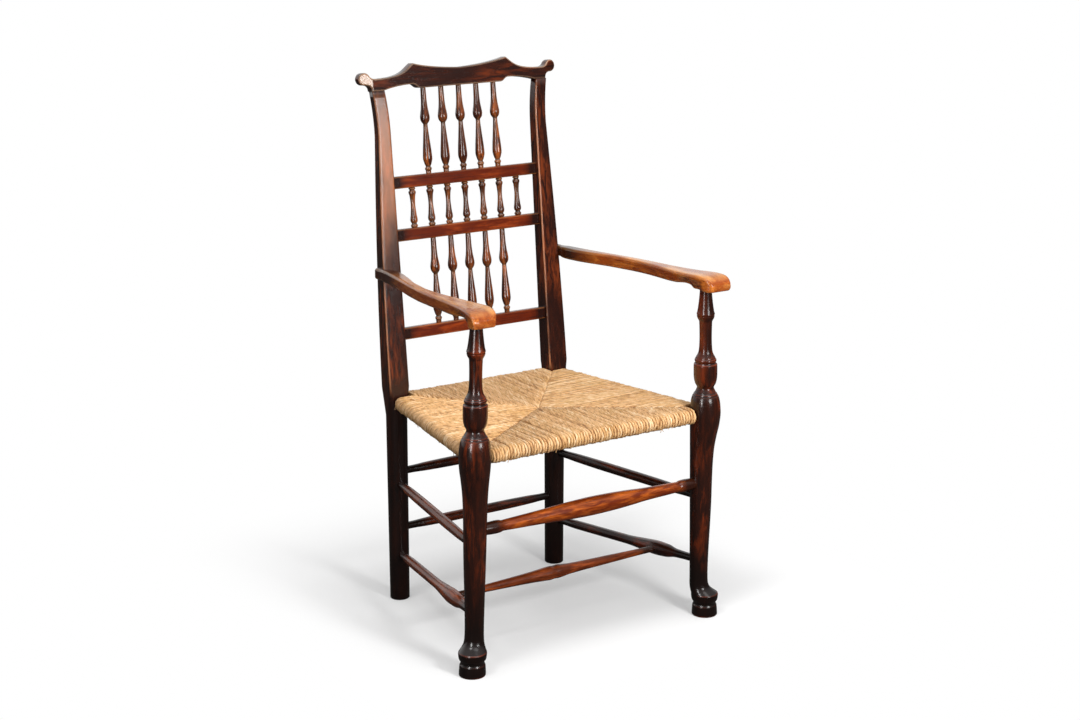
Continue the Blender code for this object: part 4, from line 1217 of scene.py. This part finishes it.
@dataclass(frozen=True)
class Stretchers:
    """The eight turned rods that tie the legs together."""

    legs: FrontLegs
    posts: RearPosts
    tenon: float = 0.0120
    side_upper_height: float = 0.2480
    side_upper_radius: float = 0.0098
    front_rise: float = 0.0305
    front_radius: float = 0.0180
    front_end_radius: float = 0.0100
    rear_upper_rise: float = 0.0220
    side_lower_height: float = 0.0970
    side_lower_climb: float = 0.0180
    side_lower_radius: float = 0.0095
    swell_radius: float = 0.0146
    swell_reach: float = 0.1140
    side_end_radius: float = 0.0078
    rear_lower_rise: float = 0.0540
    rear_radius: float = 0.0100
    rear_end_radius: float = 0.0076
    medial_radius: float = 0.0138
    medial_end_radius: float = 0.0065
    medial_tenon: float = 0.0090
    dirt_reach: float = 0.045
    step: float = 0.004
    sides: int = 32
    # Share of a rod's free length, and share of the way from its end's radius to its thickest
    plain_shape: tuple[tuple[float, float], ...] = (
        (0.00, 0.00), (0.03, 0.00), (0.14, 0.60), (0.35, 1.00), (0.65, 1.00), (0.86, 0.60), (0.97, 0.00),
        (1.00, 0.00),
    )
    front_shape: tuple[tuple[float, float], ...] = (
        (0.00, 0.16), (0.02, 0.26), (0.045, 0.30), (0.065, 0.22), (0.075, 0.02), (0.10, 0.08), (0.25, 0.42),
        (0.40, 0.86), (0.50, 1.00), (0.60, 0.88), (0.70, 0.58), (0.75, 0.36), (0.90, 0.08), (0.925, 0.02),
        (0.935, 0.22), (0.955, 0.30), (0.98, 0.26), (1.00, 0.16),
    )
    medial_shape: tuple[tuple[float, float], ...] = (
        (0.00, 0.00), (0.02, 0.00), (0.20, 0.26), (0.36, 0.62), (0.43, 0.90), (0.455, 1.00), (0.475, 0.88),
        (0.495, 0.97), (0.515, 0.86), (0.56, 0.58), (0.74, 0.28), (0.98, 0.00), (1.00, 0.00),
    )
    # A lower side rod: the share of it that is thin at each end, its rise to the plain radius and on to the
    # swelling, in shares of the way there, and its fall from there to the front
    lower_flat: float = 0.03
    lower_rise: tuple[tuple[float, float], ...] = ((0.18, 0.80), (0.70, 1.00))
    lower_swell: tuple[tuple[float, float], ...] = ((0.88, 0.60), (1.00, 1.00))
    lower_fall: tuple[tuple[float, float], ...] = ((0.30, 0.80), (0.55, 0.15))

    def build_rod(
        self, node: str, ends: Sequence[tuple[Vector, float]], shape: Sequence[tuple[float, float]],
        tenon: float, material: Material,
    ) -> Object:
        """Builds and dresses one rod.

        Args:
            node: the CAD node that it stands for.
            ends: for both ends, the centre of the piece that the rod enters and the reach to its surface.
            shape: (share of the free length, radius) rows.
            tenon: how far it runs into the pieces.
            material: the stained wood.

        Returns:
            The piece.
        """
        (first, first_reach), (last, last_reach) = ends
        direction = (last - first).normalized()
        start = first + direction * first_reach
        free = (last - first).length - first_reach - last_reach
        profile = smoothed([(share * free, radius) for share, radius in shape], self.step)
        profile = [(-tenon, shape[0][1]), *profile, (free + tenon, shape[-1][1])]
        bm = turned(profile, self.sides)
        lay_grain(bm, Run.ALONG_Z, node)
        rub(bm, joints=(0.0, free), spread=self.dirt_reach)
        bm.transform(Matrix.Translation(start) @ direction.to_track_quat("Z", "Y").to_matrix().to_4x4())
        return add_piece(bm, node, material)

    def lower_shape(self, ends: Sequence[tuple[Vector, float]]) -> list[tuple[float, float]]:
        """Returns the shape of a lower side rod, which swells where the medial rod enters it."""
        (rear, rear_reach), (front, front_reach) = ends
        free = (front - rear).length - rear_reach - front_reach
        swell = 1.0 - (self.swell_reach - front_reach) / free
        thin = self.side_end_radius
        behind = swelling(self.lower_rise, thin, self.side_lower_radius)
        behind += swelling(self.lower_swell, self.side_lower_radius, self.swell_radius)
        ahead = swelling(self.lower_fall, thin, self.swell_radius)
        return [
            (0.0, thin), (self.lower_flat, thin),
            *((share * swell, radius) for share, radius in behind),
            *((mix(swell, 1.0, share), radius) for share, radius in ahead),
            (1.0 - self.lower_flat, thin), (1.0, thin),
        ]

    def build(self, front_material: Material, material: Material, dark_material: Material) -> None:
        """Builds and dresses all the rods.

        Args:
            front_material: the wood of the front rod, rubbed bright by feet.
            material: the stained wood of the medial rod and of the right side's rods.
            dark_material: the stained wood of the rear rods and of the left side's rods.
        """
        cross = (Side.RIGHT, Side.LEFT)
        rear_shape = swelling(self.plain_shape, self.rear_end_radius, self.rear_radius)
        rear_heights = {
            "upper": self.side_upper_height + self.rear_upper_rise,
            "lower": self.side_lower_height + self.rear_lower_rise,
        }
        for level, height in rear_heights.items():
            ends = [self.posts.leg(height, side) for side in cross]
            self.build_rod(f"rear_stretcher_{level}", ends, rear_shape, self.tenon, dark_material)
        ends = [self.legs.shank(self.side_upper_height + self.front_rise, side) for side in cross]
        front_shape = swelling(self.front_shape, self.front_end_radius, self.front_radius)
        self.build_rod("front_stretcher", ends, front_shape, self.tenon, front_material)
        upper_shape = swelling(self.plain_shape, self.side_end_radius, self.side_upper_radius)
        swells = []
        for side, stain in zip(cross, (material, dark_material)):
            height = self.side_upper_height
            ends = [self.posts.leg(height, side), self.legs.shank(height, side)]
            self.build_rod(f"side_stretcher_upper_{side.word}", ends, upper_shape, self.tenon, stain)
            height = self.side_lower_height
            ends = [self.posts.leg(height, side), self.legs.shank(height + self.side_lower_climb, side)]
            shape = self.lower_shape(ends)
            self.build_rod(f"side_stretcher_lower_{side.word}", ends, shape, self.tenon, stain)
            rear, front = ends[0][0], ends[1][0]
            swells.append((front + (rear - front).normalized() * self.swell_reach, self.swell_radius))
        medial_shape = swelling(self.medial_shape, self.medial_end_radius, self.medial_radius)
        self.build_rod("medial_stretcher", swells, medial_shape, self.medial_tenon, material)


@dataclass(frozen=True)
class RushSeat:
    """The woven seat: twisted cords wound over the rails, meeting along the seat's diagonals."""

    back: RakedBack
    roll: float = 0.0150
    cord_radius: float = 0.0033
    pitch: float = 0.0063
    dip: float = 0.0030
    uneven: float = 0.0009
    stuffing: float = 0.0045
    strands: int = 60
    knee_reach: float = 0.0325
    post_reach: float = 0.0255
    centre_y: float = -0.0380
    sides: int = 5
    roll_steps: int = 6
    # How far cords differ in thickness, and the span of numbers that pick the tone of their leaves
    thickness: tuple[float, float] = (0.88, 1.12)
    tones: float = 40.0
    # Shares of the unevenness that a cord takes outwards on the roll, up and down on top, and sideways
    bulge: float = 0.6
    bob: float = 0.5
    wander: float = 0.6
    # Shares of a cord's run where it has points on the underside and on top
    under_shares: tuple[float, ...] = (0.95, 0.45)
    top_shares: tuple[float, ...] = (0.22, 0.42, 0.62, 0.82)
    # How far before the diagonal a cord begins to bend down, the earliest share of its run for that, and how
    # far it has fallen there
    bend_reach: float = 0.0040
    bend_share: float = 0.90
    bend_fall: float = 0.0006
    # How far a cord runs past the diagonal, and how far its end falls
    end_reach: float = 0.0015
    end_fall: float = 0.0050
    # Loose leaves: half turns round the roll, depth in it, droop, length, radius, rise, bend and steps
    leaf_turns: tuple[float, float] = (-0.35, 0.30)
    leaf_depth: float = 0.0020
    leaf_droop: tuple[float, float] = (0.1, 0.7)
    leaf_length: tuple[float, float] = (0.003, 0.009)
    leaf_radius: tuple[float, float] = (0.0004, 0.0008)
    leaf_rise: float = 0.5
    leaf_bend: float = 1.6
    leaf_steps: int = 3

    @property
    def front_corner(self) -> Vector:
        """The left front corner of the rail axes."""
        return self.back.stance.front_axis(self.back.stance.rail_height, Side.LEFT)

    @property
    def rear_corner(self) -> Vector:
        """The left rear corner of the rail axes."""
        return Vector((self.back.leg_x, self.back.stance.rear_y, self.back.stance.rail_height))

    def spread(self, start: float, end: float) -> list[float]:
        """Returns evenly spaced places from start to end, about a cord apart."""
        count = max(2, round((end - start) / self.pitch))
        return [mix(start, end, (index + 0.5) / count) for index in range(count)]

    def runs(self) -> list[tuple[Vector, Vector, float, float]]:
        """Lists the cords.

        Returns:
            For each cord its point on the rail's axis, the way it runs into the seat, how far it runs on
            top until it meets the cords of the next side, and how far the middle of the seat is.
        """
        front, rear = self.front_corner, self.rear_corner
        cords = []
        for corner, inward, gap in ((front, 1.0, self.knee_reach), (rear, -1.0, self.post_reach)):
            reach = abs(self.centre_y - corner.y)
            for x in self.spread(-corner.x + gap, corner.x - gap):
                run = reach * (1.0 - abs(x) / corner.x)
                cords.append((Vector((x, corner.y, corner.z)), Vector((0.0, inward, 0.0)), run, reach))
        for side in Side:
            for y in self.spread(front.y + self.knee_reach, rear.y - self.post_reach):
                rail = front.lerp(rear, (y - front.y) / (rear.y - front.y))
                corner = front if y < self.centre_y else rear
                stop = corner.x * abs(y - self.centre_y) / abs(corner.y - self.centre_y)
                point = Vector((side.value * rail.x, y, rail.z))
                cords.append((point, Vector((-side.value, 0.0, 0.0)), rail.x - stop, rail.x))
        return cords

    def build_cord(
        self, rail: Vector, inward: Vector, run: float, reach: float, dice: random.Random,
    ) -> BMesh:
        """Builds one cord.

        Args:
            rail: its point on the rail's axis.
            inward: the way it runs into the seat.
            run: how far it runs on top.
            reach: how far the middle of the seat is.
            dice: gives the small unevenness of hand work.

        Returns:
            A closed tube that comes from under the seat, over the roll and in to the diagonal.
        """
        radius = self.cord_radius * dice.uniform(*self.thickness)
        round_rail = self.roll - self.cord_radius + dice.uniform(-self.uneven, self.bulge * self.uneven)
        lateral = inward.cross(Vector((0.0, 0.0, 1.0)))
        path = []
        for share in self.under_shares:
            path.append((run * share, -round_rail + self.dip * run * share / reach))
        for step in range(self.roll_steps + 1):
            turn = math.pi * (step / self.roll_steps - 0.5)
            sag = dice.uniform(0.0, self.uneven) * ramp(-turn, 0.0, 1.0)
            path.append((-round_rail * math.cos(turn), round_rail * math.sin(turn) - sag))
        for share in self.top_shares:
            rise = round_rail + dice.uniform(-self.bob, self.bob) * self.uneven
            path.append((run * share, rise - self.dip * run * share / reach))
        level = round_rail - self.dip * run / reach
        path.append((max(run - self.bend_reach, self.bend_share * run), level - self.bend_fall))
        path.append((run + self.end_reach, level - self.end_fall))
        points = []
        for depth, height in path:
            sideways = lateral * dice.uniform(-self.wander, self.wander) * self.uneven
            points.append(rail + inward * depth + Vector((0.0, 0.0, height)) + sideways)
        return self.tube(points, lateral, radius, dice.uniform(0.0, self.tones))

    def tube(self, points: Sequence[Vector], lateral: Vector, radius: float, shade: float) -> BMesh:
        """Builds a closed tube along points, and stores its twist and its tone.

        Args:
            points: the tube's middle line.
            lateral: a direction that the line never takes.
            radius: the tube's radius.
            shade: picks the tone of its leaves.

        Returns:
            The tube.
        """
        around = circle(self.sides)
        loops = []
        for index, point in enumerate(points):
            tangent = points[min(index + 1, len(points) - 1)] - points[max(index - 1, 0)]
            normal = lateral.cross(tangent.normalized())
            loops.append([point + (lateral * c.x + normal * c.y) * radius for c in around])
        bm = lofted(loops)
        lay = bm.verts.layers.float_vector.new("lay")
        tone = bm.verts.layers.float.new("tone")
        lengths = [0.0]
        for first, second in zip(points, points[1:]):
            lengths.append(lengths[-1] + (second - first).length)
        for index, vert in enumerate(bm.verts):
            turn = around[index % self.sides]
            vert[lay] = Vector((turn.x, turn.y, lengths[index // self.sides]))
            vert[tone] = shade
        return bm

    def build_strand(self, rail: Vector, inward: Vector, dice: random.Random) -> BMesh:
        """Builds one loose leaf that has come out of a cord on the roll.

        Args:
            rail: its point on the rail's axis.
            inward: the way into the seat.
            dice: gives its place on the roll, its length and its bend.

        Returns:
            A thin tube whose first end lies between the cords.
        """
        lateral = inward.cross(Vector((0.0, 0.0, 1.0)))
        turn = dice.uniform(*self.leaf_turns) * math.pi
        out = (Vector((0.0, 0.0, 1.0)) * math.sin(turn) - inward * math.cos(turn)).normalized()
        start = rail + out * (self.roll - self.leaf_depth)
        lean = lateral * dice.uniform(-1.0, 1.0) - Vector((0.0, 0.0, dice.uniform(*self.leaf_droop)))
        length = dice.uniform(*self.leaf_length)
        points = []
        for step in range(self.leaf_steps + 1):
            share = step / self.leaf_steps
            bent = out * self.leaf_rise * share + lean * share ** self.leaf_bend
            points.append(start + bent * length)
        side = lean.cross(out).normalized()
        return self.tube(points, side, dice.uniform(*self.leaf_radius), dice.uniform(0.0, self.tones))

    def build_stuffing(self) -> BMesh:
        """Builds the flat pad of broken rush between the top and the underside of the weave."""
        front, rear = self.front_corner, self.rear_corner
        outline = [front, rear, Vector((-rear.x, rear.y, rear.z)), Vector((-front.x, front.y, front.z))]
        rises = (-self.stuffing, self.stuffing)
        bm = lofted([[point + Vector((0.0, 0.0, rise)) for point in outline] for rise in rises])
        bm.verts.layers.float_vector.new("lay")
        bm.verts.layers.float.new("tone")
        return bm

    def build(self, material: Material) -> Object:
        """Builds and dresses the seat.

        Args:
            material: the twisted rush.

        Returns:
            The piece, whose weave is stuffed hard with rush.
        """
        dice = random.Random(7)
        runs = self.runs()
        parts = [self.build_stuffing()]
        parts += [self.build_cord(rail, inward, run, reach, dice) for rail, inward, run, reach in runs]
        loose = dice.choices(runs, k=self.strands)
        parts += [self.build_strand(rail, inward, dice) for rail, inward, _, _ in loose]
        woven = bmesh.new()
        for part in parts:
            mesh = bpy.data.meshes.new("cord")
            part.to_mesh(mesh)
            part.free()
            woven.from_mesh(mesh)
            bpy.data.meshes.remove(mesh)
        seat = add_piece(woven, "rush_seat", material)
        return seat


@dataclass(frozen=True)
class FarLamp:
    """One wide soft lamp, far away, so that the floor is lit evenly."""

    name: str
    # Degrees round the chair from its front, above the floor, and across the lamp as the chair sees it
    azimuth: float
    elevation: float
    spread: float
    # Watts on a square metre that faces it, and whether the polish mirrors it
    strength: float
    mirrored: bool = True
    distance: float = 3.0

    def build(self) -> None:
        """Builds the lamp, aimed at the middle of the floor."""
        turn, tilt = math.radians(self.azimuth), math.radians(self.elevation)
        away = Vector((math.sin(turn) * math.cos(tilt), -math.cos(turn) * math.cos(tilt), math.sin(tilt)))
        light = bpy.data.lights.new(self.name, "SUN")
        light.angle = math.radians(self.spread)
        light.energy = self.strength
        add_object(self.name, light, away * self.distance, -away).visible_glossy = self.mirrored


@dataclass(frozen=True)
class SoftBox:
    """One soft box that stands upright and faces the chair."""

    name: str
    place: tuple[float, float, float]
    # Width and height
    size: tuple[float, float]
    watts: float
    # Whether the polish mirrors it, and whether it lights what is matt
    mirrored: bool = True
    lights_matt: bool = True

    def build(self) -> None:
        """Builds the soft box."""
        light = bpy.data.lights.new(self.name, "AREA")
        light.shape = "RECTANGLE"
        light.size, light.size_y = self.size
        light.energy = self.watts
        box = add_object(self.name, light, self.place, Vector((-self.place[0], -self.place[1], 0.0)))
        box.visible_glossy = self.mirrored
        box.visible_diffuse = self.lights_matt


@dataclass(frozen=True)
class Studio:
    """A pale floor with a grey painted shadow under the chair, before a white backdrop, soft light from
    above, three soft boxes, and the camera.
    """

    floor_size: float = 60.0
    floor_colour: str = "#ffffff"
    floor_near: str = "#ededed"
    floor_bounce: str = "#4c4a48"
    floor_glow: float = 0.25
    # The edges of the grey patch of painted shadow under the chair: the axis, where the floor is white and
    # where it is grey
    patch_edges: tuple[tuple[str, float, float], ...] = (
        ("X", -0.40, -0.15), ("X", 0.63, 0.33), ("Y", -0.30, -0.12), ("Y", 0.73, 0.14),
    )
    shadow_margin: float = 0.10
    camera_place: tuple[float, float, float] = (-2.092, -3.1857, 1.522)
    camera_target: tuple[float, float, float] = (0.0, -0.0257, 0.5)
    lens: float = 67.04
    sensor: float = 36.0
    shift_x: float = 0.00444
    shift_y: float = 0.01009
    # Strength of the ceiling level with the chair and overhead, and the height of a ray where it is full
    ceiling: tuple[float, float] = (0.04, 0.68)
    ceiling_full: float = 0.9
    # Strength of the backdrop on matt wood and in the polish, and how far back a ray looks where it begins
    # and where it is full
    backdrop: tuple[float, float] = (0.55, 1.0)
    backdrop_run: tuple[float, float] = (0.2, 0.8)
    lamps: tuple[FarLamp | SoftBox, ...] = (
        FarLamp("lamp_left", -72.0, 58.0, 14.0, 0.50),
        FarLamp("lamp_right", 10.0, 64.0, 28.0, 0.35),
        FarLamp("lamp_fill", -25.0, 22.0, 70.0, 0.50, mirrored=False),
        SoftBox("panel_key", (0.08, -2.05, 1.35), (0.38, 0.38), 28.0, mirrored=False),
        SoftBox("panel_front", (0.42, -3.00, 1.15), (0.70, 0.85), 30.0),
        SoftBox("panel_side", (-2.15, -1.25, 1.05), (0.25, 1.40), 24.0, lights_matt=False),
    )

    def seen(self, tree: NodeTree, *kinds: str) -> NodeSocket:
        """Adds the nodes that tell whether a ray is of one of the kinds.

        Args:
            tree: the floor's or the world's nodes.
            kinds: the kinds, as Light Path names them.

        Returns:
            A socket, 1 for such a ray and 0 for any other.
        """
        path = add_node(tree, "ShaderNodeLightPath")
        share = path.outputs[kinds[0]]
        for kind in kinds[1:]:
            either = {0: share, 1: path.outputs[kind]}
            share = add_node(tree, "ShaderNodeMath", {"operation": "MAXIMUM"}, either).outputs[0]
        return share

    def patch(self, tree: NodeTree, margin: float) -> NodeSocket:
        """Adds the nodes that tell how far inside the grey patch of painted shadow a place on the floor is.

        Args:
            tree: the floor's nodes.
            margin: how far the patch's edges are moved outwards.

        Returns:
            A socket, 1 in the patch and 0 outside it.
        """
        place = add_node(
            tree, "ShaderNodeSeparateXYZ", {}, {0: add_node(tree, "ShaderNodeTexCoord").outputs["Object"]},
        )
        share = 1.0
        for axis, white, grey in self.patch_edges:
            shift = math.copysign(margin, white)
            inside = add_node(
                tree, "ShaderNodeMapRange", {"interpolation_type": "SMOOTHSTEP"},
                {
                    "Value": place.outputs[axis],
                    "From Min": min(white, grey) + shift, "From Max": max(white, grey) + shift,
                    "To Min": float(white > grey), "To Max": float(white < grey),
                },
            ).outputs["Result"]
            both = {0: share, 1: inside}
            share = add_node(tree, "ShaderNodeMath", {"operation": "MULTIPLY"}, both).outputs[0]
        return share

    def build_floor(self) -> Object:
        """Builds the floor, a matt white sheet that keeps the chair's shadow and has a grey painted shadow
        under the chair.
        """
        bm = bmesh.new()
        bmesh.ops.create_grid(bm, x_segments=2, y_segments=2, size=self.floor_size / 2.0)
        mesh = bpy.data.meshes.new("floor")
        bm.to_mesh(mesh)
        bm.free()
        material, tree = add_material("matt_white_sheet")
        tree.nodes.clear()
        shadowless = add_node(
            tree, "ShaderNodeMapRange", {},
            {"Value": self.patch(tree, self.shadow_margin), "To Min": 1.0, "To Max": self.floor_glow},
        ).outputs["Result"]
        # The painted shadow: the floor's colour turns grey inside the patch
        colour = add_node(
            tree, "ShaderNodeMix", {"data_type": "RGBA"},
            {0: self.patch(tree, 0.0), 6: linear(self.floor_colour), 7: linear(self.floor_near)},
        ).outputs[2]
        seen = self.seen(tree, "Is Camera Ray", "Is Transmission Ray")
        matt = add_node(tree, "ShaderNodeBsdfDiffuse", {}, {"Color": colour}).outputs[0]
        glow = add_node(tree, "ShaderNodeEmission", {}, {"Color": colour}).outputs[0]
        white = add_node(tree, "ShaderNodeMixShader", {}, {0: shadowless, 1: matt, 2: glow}).outputs[0]
        pale = add_node(tree, "ShaderNodeBsdfDiffuse", {}, {"Color": linear(self.floor_bounce)}).outputs[0]
        both = add_node(tree, "ShaderNodeMixShader", {}, {0: seen, 1: pale, 2: white}).outputs[0]
        add_node(tree, "ShaderNodeOutputMaterial", {}, {"Surface": both})
        mesh.materials.append(material)
        floor = add_object("floor", mesh)
        return floor

    def build_world(self) -> None:
        """Builds the world: a soft ceiling, a white backdrop behind the chair and a dim room in front."""
        world = bpy.data.worlds.new("studio")
        world.use_nodes = True
        tree = world.node_tree
        tree.nodes.clear()
        way = add_node(
            tree, "ShaderNodeSeparateXYZ", {}, {0: add_node(tree, "ShaderNodeTexCoord").outputs["Generated"]},
        )
        level, overhead = self.ceiling
        ceiling = add_node(
            tree, "ShaderNodeMapRange", {},
            {"Value": way.outputs["Z"], "From Max": self.ceiling_full, "To Min": level, "To Max": overhead},
        ).outputs["Result"]
        matt, polished = self.backdrop
        mirrors = self.seen(tree, "Is Glossy Ray", "Is Transmission Ray")
        strength = add_node(
            tree, "ShaderNodeMapRange", {}, {"Value": mirrors, "To Min": matt, "To Max": polished},
        ).outputs["Result"]
        start, full = self.backdrop_run
        backdrop = add_node(
            tree, "ShaderNodeMapRange", {},
            {"Value": way.outputs["Y"], "From Min": start, "From Max": full, "To Max": strength},
        ).outputs["Result"]
        brighter = add_node(
            tree, "ShaderNodeMath", {"operation": "MAXIMUM"}, {0: ceiling, 1: backdrop},
        ).outputs[0]
        fill = add_node(
            tree, "ShaderNodeBackground", {}, {"Color": linear("#ffffff"), "Strength": brighter},
        ).outputs[0]
        white = add_node(tree, "ShaderNodeBackground", {}, {"Color": linear("#ffffff")}).outputs[0]
        seen = self.seen(tree, "Is Camera Ray")
        both = add_node(tree, "ShaderNodeMixShader", {}, {0: seen, 1: fill, 2: white}).outputs[0]
        add_node(tree, "ShaderNodeOutputWorld", {}, {"Surface": both})
        bpy.context.scene.world = world

    def build_camera(self) -> None:
        """Builds the camera and makes it the scene's."""
        data = bpy.data.cameras.new("photograph")
        data.sensor_width = self.sensor
        data.lens = self.lens
        data.shift_x = self.shift_x
        data.shift_y = self.shift_y
        aim = Vector(self.camera_target) - Vector(self.camera_place)
        bpy.context.scene.camera = add_object("photograph", data, self.camera_place, aim)

    def build(self) -> None:
        """Builds the whole studio."""
        bpy.context.scene.view_settings.view_transform = "Standard"
        self.build_floor()
        self.build_world()
        for lamp in self.lamps:
            lamp.build()
        self.build_camera()


# The legs' pale colour shows rubbed edges and also the painted light on the left arm support
LEG_WOOD = StainedWood(
    "ash_turned_black_stain", "#0f0604", "#260e07", "#80310f", "#b84b1a", rubbed=0.45, calm=0.10,
)
# The posts' pale colour also paints the sheen on the right upright's front and the highlight on their edges
POST_WOOD = StainedWood(
    "ash_shaved_black_stain", "#140806", "#2c130d", "#90401c", "#dc8f60",
    rubbed=0.80, calm=0.07, patch_mm=60.0,
)
RAIL_WOOD = StainedWood(
    "ash_shaved_red_stain", "#1c0a06", "#5e1d07", "#9c3f12", "#b9743f", rubbed=0.40, calm=0.15, coat=0.05,
)
# The crest's pale colour shows rubbed edges and also the painted highlight on the right ear
CREST_WOOD = StainedWood(
    "ash_sawn_dark_stain", "#120805", "#2b110a", "#8f3c16", "#d8b090", rubbed=0.60, calm=0.04, patch_mm=66.0,
)
SPINDLE_WOOD = StainedWood(
    "ash_turned_brown_stain", "#1a0b07", "#3c180b", "#c4662a", "#d0945a",
    rubbed=0.35, roughness=0.20, coat=0.80,
)
ARM_WOOD = StainedWood(
    "ash_shaped_worn_stain", "#34170a", "#a04a19", "#ea8a34", "#ffbc70", rubbed=0.90, calm=0.22,
)
ROD_WOOD = StainedWood(
    "ash_turned_rod_stain", "#1c0c07", "#5c260f", "#ac5020", "#a8683a", rubbed=0.40, coat=0.10,
)
FRONT_ROD_WOOD = StainedWood(
    "ash_turned_rod_worn", "#230d06", "#6a2509", "#d0681f", "#c98c50", rubbed=0.40, calm=0.35, coat=0.10,
)


def dress_hidden(nodes: dict[str, Object]) -> None:
    """Gives the CAD nodes that stay as they are a wood of their own.

    Args:
        nodes: the frame's nodes by name.
    """
    material = BareWood().material()
    for name, obj in nodes.items():
        if name.startswith(HIDDEN):
            for slot in obj.material_slots:
                slot.material = material
            LOG.info("%s keeps its CAD shape", name)


def main() -> None:
    """Builds and dresses the chair, then the studio."""
    logging.basicConfig(level=logging.INFO, format="%(message)s")
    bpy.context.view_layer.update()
    stance = Stance()
    back = RakedBack(stance)
    posts = RearPosts(back, POST_WOOD)
    legs = FrontLegs(stance, LEG_WOOD)
    arms = Arms(back)
    post_material = posts.finish.material()
    leg_material = legs.finish.material()
    arm_material = ARM_WOOD.material()
    for side in Side:
        posts.build(side, post_material)
        legs.build(side, leg_material)
        arms.build(side, arm_material)
    BackPanel(back).build(RAIL_WOOD.material(), SPINDLE_WOOD.material(), CREST_WOOD.material())
    Stretchers(legs, posts).build(FRONT_ROD_WOOD.material(), ROD_WOOD.material(), leg_material)
    RushSeat(back).build(TwistedRush().material())
    dress_hidden(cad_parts)
    Studio().build()


if __name__ == "__main__":
    main()
